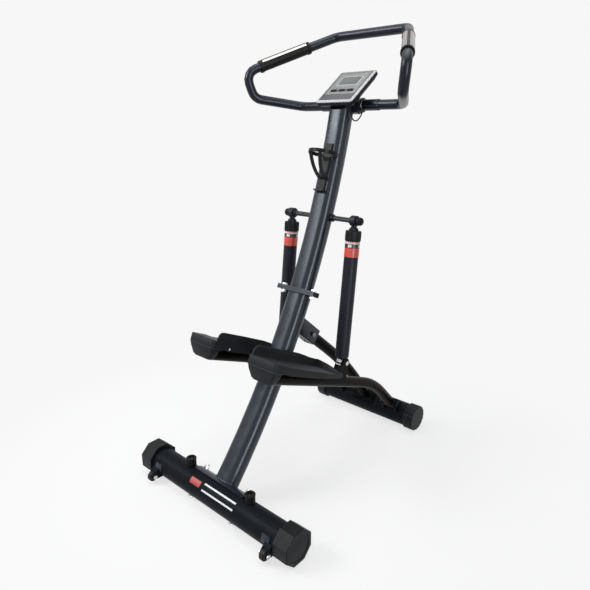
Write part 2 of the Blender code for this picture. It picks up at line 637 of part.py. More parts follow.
# Ribbed front caps with a small flat to stand on
for side, label in ((1, "right"), (-1, "left")):
    outer = FRONT_WIDTH / 2
    ribbed = []
    for k in range(FRONT_CAP_RIBS):
        pitch = 2.0 * math.pi / FRONT_CAP_RIBS
        for share, radius in ((-0.27, FRONT_CAP_R), (0.27, FRONT_CAP_R), (0.36, FRONT_CAP_R - 0.0013),
                              (0.64, FRONT_CAP_R - 0.0013)):
            a = pitch * (k + share)
            ribbed.append((radius * math.cos(a), radius * math.sin(a)))
    face = [(a * 0.955, b * 0.955) for a, b in ribbed]
    rings = [[front_centre + X * side * x + Y * a + Z * b for a, b in shape]
             for x, shape in ((outer - FRONT_CAP_LENGTH, ribbed), (outer - 0.003, ribbed), (outer, face))]
    cap = piece("front_cap_" + label, loft(rings), rubber, smooth=False)
    cut(cap, "bore", rod(front_centre, X * side, FRONT_TUBE_R + 0.0004, outer - FRONT_CAP_LENGTH - 0.01,
                         front_seat + GAP, 28))
    floor_cut = [(-0.06, -0.03), (0.06, -0.03), (0.06, 0.0), (-0.06, 0.0)]
    cut(cap, "foot", slab(floor_cut, (0.0, BASE_LENGTH, 0.0), Y, Z, X,
                          side * outer - 0.06, side * outer + 0.06))

# Pedals: frame of the tray, u runs down the slope to the toe and w is up out of it
tray_down = direction(-PEDAL_SLOPE)
tray_out = direction(90.0 - PEDAL_SLOPE)
tray_zero = yz(PEDAL_HEEL)
arm_route = smooth_corners([yz(ARM_HEEL), yz(ARM_KNEE), yz(PIVOT)], [ARM_BEND_R], 8)
arm_dir = (yz(ARM_KNEE) - yz(ARM_HEEL)).normalized()
arm_up = X.cross(arm_dir).normalized()
pin_at = yz(LOWER_PIN)
pin_along = (pin_at - yz(ARM_HEEL)).dot(arm_dir)
pin_foot = yz(ARM_HEEL) + arm_dir * pin_along
damper_line = pin_at + yz(LOWER_EYE_OFFSET) - cross_at
damper_length = damper_line.length
damper_end = damper_length - LOWER_EYE_R - DAMPER_END_GAP
swing_down = damper_line.normalized()

for side, label in ((1, "right"), (-1, "left")):
    over = X * side * ARM_X
    hinge = empty("pedal_%s_pivot" % label, yz(PIVOT) + over)

    # Arm: bent tube, pivot sleeve, two clevis plates for the damper
    arm = piece("pedal_arm_" + label, swept([p + over for p in arm_route], ARM_R, 16), arm_paint, hinge)
    join(arm, "sleeve", rod(yz(PIVOT) + over, X, PIVOT_SLEEVE_R, -PIVOT_SLEEVE_LENGTH / 2,
                            PIVOT_SLEEVE_LENGTH / 2, 20))
    low = pin_foot + arm_up * 0.004
    clevis = []
    for sign in (-1, 1):
        clevis.append((low + arm_dir * sign * 0.024))
    top = arc((0.0, 0.0), CLEVIS_R, 0.0, 180.0, 8)
    shape = [((p - pin_at).dot(arm_dir), (p - pin_at).dot(arm_up)) for p in clevis]
    outline = [shape[0], shape[1]] + top
    for sign, where in ((1, "outer"), (-1, "inner")):
        near = EYE_WIDTH / 2 + 0.0006
        a = near if sign > 0 else -near - CLEVIS_PLATE
        join(arm, "clevis_" + where, slab(outline, pin_at + over, arm_dir, arm_up, X, a, a + CLEVIS_PLATE))
    cut(arm, "pivot_bore", rod(yz(PIVOT) + over, X, PIVOT_BOLT_R + 0.0004, -0.04, 0.04, 16))
    cut(arm, "pin_hole", rod(pin_at + over, X, LOWER_PIN_R + 0.0004, -0.03, 0.03, 12))

    # Pivot bolt with a hexagon head on the outside
    out = PIVOT_SLEEVE_LENGTH / 2 + GAP * 2 + PIVOT_EAR
    bolt = piece("pivot_bolt_" + label, rod(yz(PIVOT) + over, X * side, PIVOT_BOLT_R, -out - 0.008,
                                            out + 0.003, 16), steel)
    hexagon = [(0.0105 * math.cos(math.radians(60 * k)), 0.0105 * math.sin(math.radians(60 * k)))
               for k in range(6)]
    join(bolt, "head", slab(hexagon, yz(PIVOT) + over, Y, Z, X * side, out, out + 0.006))
    join(bolt, "nut", slab(hexagon, yz(PIVOT) + over, Y, Z, X * side, -out - 0.007, -out))

    # Tray: shell open below, raised heel ledge, skirt that lifts at the toe, guard wall, ribs
    width = PEDAL_WIDTH
    inner_edge = -side * width / 2
    plan = rounded(width, PEDAL_LENGTH, 0.010, 4)
    at = tray_zero + over + tray_down * PEDAL_LENGTH / 2
    tray = piece("pedal_tray_" + label, slab(plan, at, X, tray_down, tray_out, -TRAY_DEPTH - 0.004,
                                             -HEEL_STEP), pedal_plastic, hinge)
    ledge = rounded(width - 0.0006, HEEL_LEDGE, 0.008, 3)
    join(tray, "ledge", slab(ledge, tray_zero + over + tray_down * (HEEL_LEDGE / 2 + 0.0004), X, tray_down,
                             tray_out, -TRAY_DEPTH + 0.004, 0.0))
    guard = [(PEDAL_LENGTH * a, GUARD_HEIGHT * b) for a, b in GUARD_LINE]
    guard = [(guard[0][0], -GUARD_FOOT)] + guard + [(PEDAL_LENGTH - 0.0015, guard[-1][1]),
                                               (PEDAL_LENGTH - 0.0015, -GUARD_FOOT)]
    wall_x = inner_edge if side > 0 else inner_edge - GUARD_THICK
    join(tray, "guard", slab(guard, tray_zero + over, tray_down, tray_out, X, wall_x + 0.0002 * side,
                             wall_x + GUARD_THICK + 0.0002 * side))
    lip = [(width * a, GUARD_HEIGHT * b) for a, b in LIP_LINE]
    lip = [(inner_edge + side * a, b) for a, b in [(0.0, -LIP_FOOT)] + lip + [(lip[-1][0], -LIP_FOOT)]]
    join(tray, "toe_lip", slab(lip, tray_zero + over + tray_down * (PEDAL_LENGTH - 0.0045), X, tray_out,
                               tray_down, 0.0, 0.0040))
    hollow = rounded(width - 2 * TRAY_WALL, PEDAL_LENGTH - 2 * TRAY_WALL, 0.0075, 3)
    cut(tray, "hollow", slab(hollow, at, X, tray_down, tray_out, -0.06, -HEEL_STEP - TRAY_FLOOR))
    wedge = [(HEEL_BLOCK_LENGTH + 0.006, -TRAY_DEPTH)] + [(PEDAL_LENGTH * a, -b) for a, b in SKIRT_LINE]
    wedge += [(wedge[-1][0], -0.08), (-0.02, -0.08), (-0.02, -TRAY_DEPTH)]
    cut(tray, "skirt_line", slab(wedge, tray_zero + over, tray_down, tray_out, X, -0.06, 0.06))
    for k, (share, depth) in enumerate(RIB_LINE):
        half_x = width / 2 - 0.001
        rib = [(half_x, -HEEL_STEP - 0.002), (half_x, -depth), (SEAT_HALF, -depth), (SEAT_HALF, -SEAT_DEPTH)]
        rib += [(-a, b) for a, b in reversed(rib)]
        join(tray, "rib_%d" % k, slab(rib, tray_zero + over + tray_down * PEDAL_LENGTH * share, X, tray_out,
                                      tray_down, 0.0, TRAY_RIB))
    route = [p + over for p in (yz(ARM_HEEL) - arm_dir * 0.03, yz(ARM_KNEE))]
    cut(tray, "arm_seat", rod(route[0], arm_dir, ARM_R + 0.0004, -0.05, (route[1] - route[0]).length, 28))

    # Heel block below the seam, tapered, in front of it the arm's tube starts
    seam = -TRAY_DEPTH - GAP
    wide = width / 2 - 0.003
    narrow = width / 2 - 0.0165
    rings = []
    for w, half_x, first, last in ((seam, wide, 0.0008, HEEL_BLOCK_LENGTH),
                                   (seam - 0.010, wide - 0.002, 0.0045, HEEL_BLOCK_LENGTH),
                                   (seam - HEEL_BLOCK_DEPTH + 0.005, narrow + 0.002, 0.0120, HEEL_BLOCK_LENGTH),
                                   (seam - HEEL_BLOCK_DEPTH, narrow - 0.004, 0.0165, HEEL_BLOCK_LENGTH - 0.004)):
        base = tray_zero + over + tray_out * w + tray_down * (first + last) / 2
        rings.append([base + X * a + tray_down * b for a, b in rounded(2 * half_x, last - first, 0.0055, 3)])
    block = piece("heel_block_" + label, loft(rings), pedal_plastic, hinge)
    cut(block, "arm_end", rod(route[0], arm_dir, ARM_R + 0.0004, 0.03 - GAP, 0.2, 28))

    # Damper: upper eye, neck and cylinder in one, with the bore for the rod
    swing = empty("damper_%s_pivot" % label, cross_at + over)
    shank = EYE_WIDTH / 2 - 0.0004
    profile = [(0.0, 0.009), (shank, 0.009), (shank, 0.016), (0.0130, 0.0215),
               (0.0130, KNOB_START - GAP), (NECK_R, KNOB_START - GAP), (NECK_R, KNOB_START + KNOB_LENGTH + GAP),
               (DAMPER_R, KNOB_START + KNOB_LENGTH + GAP), (DAMPER_R, damper_end - 0.0015),
               (DAMPER_R - 0.0015, damper_end), (0.0, damper_end)]
    damper = piece("damper_cylinder_" + label, turned(profile, cross_at + over, swing_down, 16),
                   damper_paint, swing)
    join(damper, "eye", rod(cross_at + over, X, EYE_R, -EYE_WIDTH / 2, EYE_WIDTH / 2, 20))
    cut(damper, "eye_bore", rod(cross_at + over, X, CROSSROD_R + 0.0004, -0.02, 0.02, 20))
    cut(damper, "rod_bore", rod(cross_at + over, swing_down, ROD_R + 0.0004, ROD_TOP - 0.006, damper_end + 0.01, 14))

    # Adjuster knob: fluted ring that turns on the neck
    knob_axis = empty("knob_%s_axis" % label, cross_at + over + swing_down * (KNOB_START + KNOB_LENGTH / 2),
                      swing)
    fluted = []
    for k in range(KNOB_FLUTES):
        pitch = 2.0 * math.pi / KNOB_FLUTES
        for share, radius in ((-0.30, KNOB_R), (0.30, KNOB_R), (0.42, KNOB_R - 0.0014),
                              (0.58, KNOB_R - 0.0014)):
            a = pitch * (k + share)
            fluted.append((radius * math.cos(a), radius * math.sin(a)))
    trimmed = [(a * 0.93, b * 0.93) for a, b in fluted]
    cross = swing_down.cross(X)
    rings = [[cross_at + over + swing_down * (KNOB_START + h) + X * a + cross * b for a, b in shape]
             for h, shape in ((0.0, trimmed), (0.002, fluted), (KNOB_LENGTH - 0.002, fluted),
                              (KNOB_LENGTH, trimmed))]
    knob = piece("adjuster_knob_" + label, loft(rings), plastic, knob_axis, smooth=False)
    cut(knob, "bore", rod(cross_at + over, swing_down, NECK_R + 0.0004, KNOB_START - 0.01,
                          KNOB_START + KNOB_LENGTH + 0.01, 18))

    # Piston rod and lower eye; the eye has play around the pin because the loop is opened here
    eye_at = cross_at + over + swing_down * damper_length
    slider = empty("rod_%s_slide" % label, eye_at, swing)
    plunger = piece("piston_rod_" + label,
                    rod(cross_at + over, swing_down, ROD_R, ROD_TOP, damper_length - 0.011, 14), steel, slider)
    join(plunger, "eye", rod(eye_at, X, LOWER_EYE_R, -EYE_WIDTH / 2, EYE_WIDTH / 2, 20))
    cut(plunger, "eye_bore", rod(eye_at, X, LOWER_PIN_R + LOWER_EYE_PLAY, -0.02, 0.02, 20))

    # Lower pin: bolt through the clevis with washers and a bright nut
    out = EYE_WIDTH / 2 + 0.0006 + CLEVIS_PLATE + GAP
    profile = [(0.0, -out - 0.0055), (0.0062, -out - 0.0050), (0.0062, -out), (LOWER_PIN_R, -out),
               (LOWER_PIN_R, out), (0.0065, out), (0.0065, out + 0.0042), (0.0, out + 0.0056)]
    piece("lower_pin_" + label, turned(profile, pin_at + over, X * side, 12), steel, hinge)

    # Lock nut with a domed plastic cover on the end of the crossrod
    near = ARM_X + EYE_WIDTH / 2 + 0.0006
    cover = [(CROSSROD_R + GAP, near), (0.0112, near), (0.0116, near + 0.0100), (0.0092, near + 0.0155),
             (0.0, near + 0.0185), (0.0, CROSSROD_REACH + GAP), (CROSSROD_R + GAP, CROSSROD_REACH + GAP)]
    piece("crossrod_cap_" + label, turned(cover, cross_at, X * side, 12), plastic)

# Crossrod through the post, with a collar welded on each side of it and before each eye
collar = POST_WIDTH / 2 + GAP
stop = ARM_X - EYE_WIDTH / 2 - 0.0006
profile = [(0.0, -CROSSROD_REACH), (CROSSROD_R, -CROSSROD_REACH), (CROSSROD_R, -stop), (0.0098, -stop),
           (0.0098, -stop + 0.006), (CROSSROD_R, -stop + 0.006), (CROSSROD_R, -collar - 0.007),
           (0.0108, -collar - 0.007), (0.0108, -collar), (CROSSROD_R, -collar)]
profile += [(r, -h) for r, h in reversed(profile)]
piece("crossrod", turned(profile, cross_at, X, 12), dark_steel)

# Handlebar: one closed loop, low bar before the post, sides back and round, then up to the front bar
half_loop = [Vector((0.0, *BAR_LOW)), Vector((BAR_LOW_HALF, *BAR_LOW)), Vector(BAR_TURN), Vector(BAR_SIDE),
             Vector(BAR_FRONT), Vector((0.0, BAR_FRONT[1], BAR_FRONT[2]))]
right_half = smooth_corners(half_loop, [BAR_BEND] * 4, 4)
left_half = [Vector((-p.x, p.y, p.z)) for p in reversed(right_half[1:-1])]
loop = piece("handlebar", swept(right_half + left_half, BAR_R, 12, closed=True), tube_paint)
join(loop, "sleeve", rod(bar_low, X, BAR_SLEEVE_R, -BAR_SLEEVE_HALF, BAR_SLEEVE_HALF, 16, 0.0012))

# Clamp cap before the low bar
cap_line = ([(split + GAP / 2, bar_low.z - CLAMP_R)]
            + arc((split, bar_low.z), CLAMP_R, -80.0, 80.0, 10)
            + [(split + GAP / 2, bar_low.z + CLAMP_R)])
clamp = piece("handlebar_clamp", slab(cap_line, (0.0, 0.0, 0.0), Y, Z, X, -CLAMP_HALF, CLAMP_HALF), plastic)
cut(clamp, "bar_seat", rod(bar_low, X, BAR_SLEEVE_R + 0.0002, -CLAMP_HALF - 0.01, CLAMP_HALF + 0.01, 24))

# Pulse grips: plastic sleeves with end collars, and a bright plate let into the upper outer side
for side, label in ((1, "right"), (-1, "left")):
    near = Vector((side * BAR_SIDE[0], BAR_SIDE[1], BAR_SIDE[2]))
    far = Vector((side * BAR_FRONT[0], BAR_FRONT[1], BAR_FRONT[2]))
    along = (far - near).normalized()
    begin = GRIP_START
    end = GRIP_START + GRIP_LENGTH
    bore = BAR_R + 0.0003
    profile = [(bore, begin), (GRIP_COLLAR_R, begin), (GRIP_COLLAR_R, begin + GRIP_COLLAR),
               (GRIP_R, begin + GRIP_COLLAR), (GRIP_R, end - GRIP_COLLAR), (GRIP_COLLAR_R, end - GRIP_COLLAR),
               (GRIP_COLLAR_R, end), (bore, end)]
    piece("grip_" + label, turned(profile, near, along, 16), grip_plastic)
    outward = (X * side - along * along.dot(X * side)).normalized()
    upward = along.cross(outward).normalized()
    if upward.z < 0.0:
        upward = -upward
    centre = near + along * (begin + end) / 2
    length = GRIP_LENGTH / 2 - GRIP_COLLAR - 0.0015
    inner_r = GRIP_R + GAP
    shell = (arc((0.0, 0.0), inner_r, -30.0, 135.0, 9)
             + arc((0.0, 0.0), inner_r + PLATE_THICK, 135.0, -30.0, 9))
    piece("pulse_plate_" + label, slab(shell, centre, outward, upward, along, -length, length), steel)

# Console: housing, bevelled silver bezel, display, keys, battery door and its bracket
mid = con_zero + con_up * CONSOLE_LENGTH / 2
body_low = -BEZEL_THICK - GAP
back = rounded(CONSOLE_WIDTH - 0.014, CONSOLE_LENGTH - 0.014, 0.008, 3)
rim = rounded(CONSOLE_WIDTH, CONSOLE_LENGTH, CONSOLE_CORNER, 3)
rings = [[mid + X * a + con_up * b + con_out * h for a, b in shape]
         for h, shape in ((-CONSOLE_DEPTH, back), (-CONSOLE_DEPTH + 0.009, rim), (body_low, rim))]
housing = piece("console_housing", loft(rings), plastic)
inset = rounded(CONSOLE_WIDTH - 2 * BEZEL_BEVEL, CONSOLE_LENGTH - 2 * BEZEL_BEVEL, CONSOLE_CORNER - 0.002, 3)
rings = [[mid + X * a + con_up * b + con_out * h for a, b in shape]
         for h, shape in ((-BEZEL_THICK, rim), (-BEZEL_THICK + 0.002, rim), (0.0, inset))]
bezel = piece("console_bezel", loft(rings), silver)
lens = [(-LENS_HALF, LENS_LOW), (LENS_HALF, LENS_LOW), (LENS_HALF, LENS_HIGH), (-LENS_HALF, LENS_HIGH)]
loose = 0.0004
window = [(a + math.copysign(loose, a), b + (loose if b == LENS_HIGH else -loose)) for a, b in lens]
cut(bezel, "window", slab(window, con_zero, X, con_up, con_out, -0.0025, 0.02))
piece("display", slab(lens, con_zero, X, con_up, con_out, -0.0025 + GAP, -0.0008), glass, smooth=False)
for k, label in ((-1, "left"), (0, "middle"), (1, "right")):
    at = con_zero + X * k * BUTTON_X + con_up * BUTTON_AT
    key = rounded(BUTTON_SIZE[0], BUTTON_SIZE[1], 0.003, 3)
    well = rounded(BUTTON_SIZE[0] + 2 * loose, BUTTON_SIZE[1] + 2 * loose, 0.003 + loose, 3)
    cut(bezel, "well_" + label, slab(well, at, X, con_up, con_out, -BEZEL_THICK - 0.01, 0.02))
    cut(housing, "well_" + label, slab(well, at, X, con_up, con_out, body_low - 0.002, 0.02))
    holder = empty("key_%s_slide" % label, at)
    piece("key_" + label, slab(key, at, X, con_up, con_out, -BEZEL_THICK + 0.0006, 0.0016), key_plastic, holder)
door = [(-0.022, 0.0), (0.022, 0.0), (0.022, 0.036), (-0.022, 0.036)]
pocket = [(-0.0224, -0.0004), (0.0224, -0.0004), (0.0224, 0.0364), (-0.0224, 0.0364)]
door_at = con_zero + con_up * 0.096
cut(housing, "door_pocket", slab(pocket, door_at, X, con_up, con_out, -CONSOLE_DEPTH - 0.01,
                                 -CONSOLE_DEPTH + 0.0018))
piece("battery_door", slab(door, door_at, X, con_up, con_out, -CONSOLE_DEPTH - 0.0002,
                           -CONSOLE_DEPTH + 0.0018 - GAP), plastic, smooth=False)
plate = rounded(0.086, 0.070, 0.006, 3)
piece("console_bracket", slab(plate, con_zero + con_up * 0.050, X, con_up, con_out,
                              head_top, head_top + BRACKET_PLATE + GAP), dark_steel)

# Pulse cable: out of the low bar beside the clamp, down in a loop and up into the housing's low edge
cable_points = [bar_low + X * CABLE_EXIT_X + direction(CABLE_EXIT_ANGLE) * (BAR_SLEEVE_R + GAP)]
cable_points += [Vector(p) for p in CABLE_ROUTE]
for drop in (0.010, 0.0006):
    cable_points.append(con_zero + X * CABLE_END[0] + con_up * CABLE_END[1] - con_out * (CONSOLE_DEPTH + drop))
cable_line = smooth_route(cable_points, 3)
piece("pulse_cable", swept(cable_line, CABLE_R, 6), rubber)

# Bottle cage: spine on the post, D-shaped ring, two strips swept from its back down to the spine, lip
ring_at = post_point(CAGE_TOP_AT)
ring_up = post_axis(CAGE_TOP_AT)
ring_back = -post_front(CAGE_TOP_AT)
face = POST_DEPTH / 2 + GAP * 2
span = CAGE_TOP_AT - CAGE_BOTTOM_AT
rings = []
for i in range(5):
    s = CAGE_BOTTOM_AT + (span + CAGE_SPINE_RISE) * i / 4
    base = post_point(s)
    outward = -post_front(s)
    rings.append([base + X * a + outward * b for a, b in
                  ((-CAGE_SPINE_HALF, face), (CAGE_SPINE_HALF, face),
                   (CAGE_SPINE_HALF - 0.003, face + CAGE_SPINE_THICK),
                   (-CAGE_SPINE_HALF + 0.003, face + CAGE_SPINE_THICK))])
cage = piece("bottle_cage", loft(rings), plastic)
middle = face + CAGE_RING_BACK
reach_angle = math.degrees(math.asin((CAGE_RING_BACK - 0.0005) / CAGE_RING_R))
outer_line = arc((0.0, middle), CAGE_RING_R, -reach_angle, 180.0 + reach_angle, 24)
inner_line = [(0.0 + (a * (CAGE_RING_R - CAGE_STRIP) / CAGE_RING_R),
               middle + (b - middle) * (CAGE_RING_R - CAGE_STRIP) / CAGE_RING_R) for a, b in outer_line]
band = slab(outer_line, ring_at, X, ring_back, ring_up, -CAGE_RING_HEIGHT / 2, CAGE_RING_HEIGHT / 2)
join(cage, "ring", band)
hole = arc((0.0, middle), CAGE_RING_R - CAGE_STRIP, -20.0, 200.0, 24) + [(-0.0285, face + CAGE_SPINE_THICK),
                                                                         (0.0285, face + CAGE_SPINE_THICK)]
cut(cage, "ring_hole", slab(hole, ring_at, X, ring_back, ring_up, -0.02, 0.02))
far_back = middle + (CAGE_RING_R - CAGE_STRIP / 2) * math.sqrt(1.0 - (CAGE_STRIP_X / CAGE_RING_R) ** 2)
near_back = face + CAGE_SPINE_THICK / 2
for side, label in ((1, "right"), (-1, "left")):
    path = []
    for i in range(9):
        t = i / 8.0
        quarter = math.pi / 2 * t
        fall = 0.55 * math.sin(quarter) + 0.45 * t
        back = 0.55 * math.cos(quarter) + 0.45 * (1.0 - t)
        s = CAGE_TOP_AT - (CAGE_TOP_AT - CAGE_STRIP_LOW) * fall
        x = side * (CAGE_STRIP_X - (CAGE_STRIP_X - CAGE_SPINE_HALF + CAGE_STRIP_HALF + 0.001) * t)
        path.append(post_point(s) - post_front(s) * (near_back + (far_back - near_back) * back) + X * x)
    rings = []
    for i, base in enumerate(path):
        along = (path[min(i + 1, 8)] - path[max(i - 1, 0)]).normalized()
        flat = (X - along * along.dot(X)).normalized()
        thin = along.cross(flat) * (CAGE_STRIP / 2)
        flat = flat * CAGE_STRIP_HALF
        rings.append([base - flat - thin, base + flat - thin, base + flat + thin, base - flat + thin])
    join(cage, "strip_" + label, loft(rings))
lip_at = post_point(CAGE_BOTTOM_AT + 0.003)
lip = [(-0.018, face), (0.018, face), (0.016, face + CAGE_SHELF), (-0.016, face + CAGE_SHELF)]
join(cage, "lip", slab(lip, lip_at, X, -post_front(CAGE_BOTTOM_AT), post_axis(CAGE_BOTTOM_AT), 0.0, 0.004))
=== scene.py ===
import json
import math

import bpy
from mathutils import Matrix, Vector


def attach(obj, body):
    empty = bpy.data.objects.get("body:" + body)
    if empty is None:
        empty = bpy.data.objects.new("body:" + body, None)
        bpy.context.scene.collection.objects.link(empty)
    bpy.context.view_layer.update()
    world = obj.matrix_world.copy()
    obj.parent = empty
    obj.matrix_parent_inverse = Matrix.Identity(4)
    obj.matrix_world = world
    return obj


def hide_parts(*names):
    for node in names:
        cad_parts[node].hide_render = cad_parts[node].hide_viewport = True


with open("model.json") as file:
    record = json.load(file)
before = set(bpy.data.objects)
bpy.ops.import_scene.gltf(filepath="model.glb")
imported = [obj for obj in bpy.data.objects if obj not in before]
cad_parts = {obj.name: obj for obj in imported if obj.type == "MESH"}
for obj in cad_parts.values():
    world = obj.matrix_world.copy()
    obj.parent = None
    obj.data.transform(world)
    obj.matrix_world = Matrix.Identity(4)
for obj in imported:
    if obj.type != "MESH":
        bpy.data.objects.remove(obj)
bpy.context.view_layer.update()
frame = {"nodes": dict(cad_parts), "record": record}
nodes = frame["nodes"]

# Studio: a pale floor that fades into an equally pale background, a large soft lamp high on the
# left, a softer one overhead and a tall narrow one on the right, which draws the bright line down
# the post's corner. The camera stands at the photograph's viewing angle.
BACKGROUND = 0.928
AIR_LIGHT = (0.26, 0.27, 0.29)
CAMERA_PLACE = (0.952, -1.106, 0.978)
CAMERA_TURN = (math.radians(72.54), 0.0, math.radians(41.52))
CAMERA_LENS = 32.87
CAMERA_SENSOR = 36.0
LAMPS = (  # name, place, aim, width, height, watts
    ("key_softbox", (-2.25, -2.50, 3.05), (0.0, 0.0, 0.6), 1.9, 1.5, 122.0),
    ("top_softbox", (0.1, 0.0, 3.3), (0.0, 0.1, 0.3), 2.4, 2.4, 60.0),
    ("strip_light", (2.28, -1.02, 1.00), (0.0, 0.0, 0.75), 0.90, 2.6, 58.0))
FLOOR_COLOUR = (0.93, 0.93, 0.935)
FLOOR_RADIUS = 14.0
FLOOR_GAP = 0.0004
GLOW_NEAR, GLOW_FAR = 0.76, 1.0
FADE_START, FADE_END = 0.45, 1.15

scene = bpy.context.scene
scene.view_settings.view_transform = "Standard"
bpy.ops.object.select_all(action="DESELECT")
bpy.ops.object.camera_add(location=CAMERA_PLACE, rotation=CAMERA_TURN)
camera = bpy.context.object
camera.data.sensor_fit = "HORIZONTAL"
camera.data.sensor_width = CAMERA_SENSOR
camera.data.lens = CAMERA_LENS
scene.camera = camera


def reckoned(tree, operation, first, second=None):
    """What a Math node makes of one output and a number or another output."""
    sum_up = tree.nodes.new("ShaderNodeMath")
    sum_up.operation = operation
    tree.links.new(first, sum_up.inputs[0])
    if isinstance(second, float):
        sum_up.inputs[1].default_value = second
    elif second is not None:
        tree.links.new(second, sum_up.inputs[1])
    return sum_up.outputs["Value"]


def tinted(tree, share, below, above):
    """From one colour to another; each is three numbers or another node's output."""
    mix = tree.nodes.new("ShaderNodeMix")
    mix.data_type = "RGBA"
    for socket, colour in (("A", below), ("B", above)):
        if isinstance(colour, tuple):
            mix.inputs[socket].default_value = (*colour, 1.0)
        else:
            tree.links.new(colour, mix.inputs[socket])
    tree.links.new(share, mix.inputs["Factor"])
    return mix.outputs["Result"]


def spread(tree, value, low, high, start=0.3, end=0.7, smooth=False):
    """Map a value, such as a noise in its usual range, to a range of its own."""
    span = tree.nodes.new("ShaderNodeMapRange")
    if smooth:
        span.interpolation_type = "SMOOTHSTEP"
    limits = {"From Min": start, "From Max": end, "To Min": low, "To Max": high}
    for socket, number in limits.items():
        span.inputs[socket].default_value = number
    tree.links.new(value, span.inputs["Value"])
    return span.outputs["Result"]


def shown(tree):
    """1 for the rays that show the surroundings: camera, reflection and refraction."""
    kind = tree.nodes.new("ShaderNodeLightPath")
    direct = reckoned(tree, "MAXIMUM", kind.outputs["Is Camera Ray"], kind.outputs["Is Glossy Ray"])
    return reckoned(tree, "MAXIMUM", direct, kind.outputs["Is Transmission Ray"])


world = bpy.data.worlds.new("studio_air")
scene.world = world
world.use_nodes = True
air = world.node_tree
seen = tinted(air, shown(air), AIR_LIGHT, (BACKGROUND, BACKGROUND, BACKGROUND))
air.links.new(seen, air.nodes["Background"].inputs["Color"])

for name, place, aim, wide, high, watts in LAMPS:
    turn = (Vector(aim) - Vector(place)).to_track_quat("-Z", "Y").to_euler()
    bpy.ops.object.light_add(type="AREA", location=place, rotation=turn)
    lamp = bpy.context.object
    lamp.name = name
    lamp.data.shape = "RECTANGLE"
    lamp.data.size = wide
    lamp.data.size_y = high
    lamp.data.energy = watts
    lamp.visible_diffuse = name != "strip_light"  # the strip shows in gloss alone

bpy.ops.mesh.primitive_circle_add(vertices=96, radius=FLOOR_RADIUS, fill_type="NGON",
                                  location=(0.0, 0.0, -FLOOR_GAP))
floor = bpy.context.object
floor.name = "studio_floor"
floor_paint = bpy.data.materials.new("studio_floor")
floor_paint.use_nodes = True
tree = floor_paint.node_tree
tree.nodes.remove(tree.nodes["Principled BSDF"])
matt = tree.nodes.new("ShaderNodeBsdfDiffuse")
matt.inputs["Color"].default_value = (*FLOOR_COLOUR, 1.0)
glow = tree.nodes.new("ShaderNodeEmission")
glow.inputs["Color"].default_value = (BACKGROUND, BACKGROUND, BACKGROUND, 1.0)
where = tree.nodes.new("ShaderNodeTexCoord")
far = tree.nodes.new("ShaderNodeVectorMath")
far.operation = "LENGTH"
tree.links.new(where.outputs["Object"], far.inputs[0])
fade = spread(tree, far.outputs["Value"], GLOW_NEAR, GLOW_FAR, FADE_START, FADE_END, smooth=True)
blend = tree.nodes.new("ShaderNodeMixShader")
tree.links.new(reckoned(tree, "MULTIPLY", fade, shown(tree)), blend.inputs["Fac"])
tree.links.new(matt.outputs["BSDF"], blend.inputs[1])
tree.links.new(glow.outputs["Emission"], blend.inputs[2])
tree.links.new(blend.outputs["Shader"], tree.nodes["Material Output"].inputs["Surface"])
floor.data.materials.append(floor_paint)

# Rear stabiliser: a round steel tube, powder coated in a satin blue-black. It is the same coat
# as on the front tube and the two wheel brackets.
TUBE_BLACK = (0.0062, 0.0076, 0.0098)
SIDES = ((1, "right"), (-1, "left"))


def pairs(*names):
    """The right and the left node of each name."""
    return ["%s_%s" % (name, label) for name in names for side, label in SIDES]


def start_material(name):
    """A node material and its shader, with Object coordinates ready."""
    material = bpy.data.materials.new(name)
    material.use_nodes = True
    tree = material.node_tree
    shader = tree.nodes["Principled BSDF"]
    place = tree.nodes.new("ShaderNodeTexCoord").outputs["Object"]
    return material, tree, shader, place


def noise(tree, place, scale, detail=2.0, roughness=0.5):
    """A cloudy noise; its scale is the number of clouds to a metre."""
    cloud = tree.nodes.new("ShaderNodeTexNoise")
    cloud.inputs["Scale"].default_value = scale
    cloud.inputs["Detail"].default_value = detail
    cloud.inputs["Roughness"].default_value = roughness
    tree.links.new(place, cloud.inputs["Vector"])
    return cloud.outputs["Fac"]


def raised(tree, shader, height, strength, distance):
    """Let a height stand out of the surface, by a distance in metres."""
    bump = tree.nodes.new("ShaderNodeBump")
    bump.inputs["Strength"].default_value = strength
    bump.inputs["Distance"].default_value = distance
    tree.links.new(height, bump.inputs["Height"])
    tree.links.new(bump.outputs["Normal"], shader.inputs["Normal"])


def scaled(colour, gain, lift=0.0):
    """The same colour, darker or lighter."""
    return tuple(c * gain + lift for c in colour)


def powder_coat(name, colour, roughness, metallic=0.0, peel=520.0, peel_depth=0.00012, ior=1.17,
                tint=(0.86, 0.94, 1.0)):
    """Baked powder paint: a faint orange peel and a slightly uneven gloss and tone."""
    material, tree, shader, place = start_material(name)
    drift = spread(tree, noise(tree, place, 6.5, detail=5.0), 0.0, 1.0)
    tone = tinted(tree, drift, scaled(colour, 0.90), scaled(colour, 1.15, 0.0003))
    tree.links.new(tone, shader.inputs["Base Color"])
    clouds = noise(tree, place, 24.0, detail=6.0, roughness=0.6)
    sheen = spread(tree, clouds, roughness - 0.05, roughness + 0.06)
    tree.links.new(sheen, shader.inputs["Roughness"])
    shader.inputs["Metallic"].default_value = metallic
    shader.inputs["IOR"].default_value = ior
    shader.inputs["Specular Tint"].default_value = (*tint, 1.0)
    raised(tree, shader, noise(tree, place, peel, detail=3.0), strength=0.15, distance=peel_depth)
    return material


def dress(material, *names):
    """Give CAD nodes that keep their shape a finished surface."""
    for name in names:
        nodes[name].data.materials.clear()
        nodes[name].data.materials.append(material)


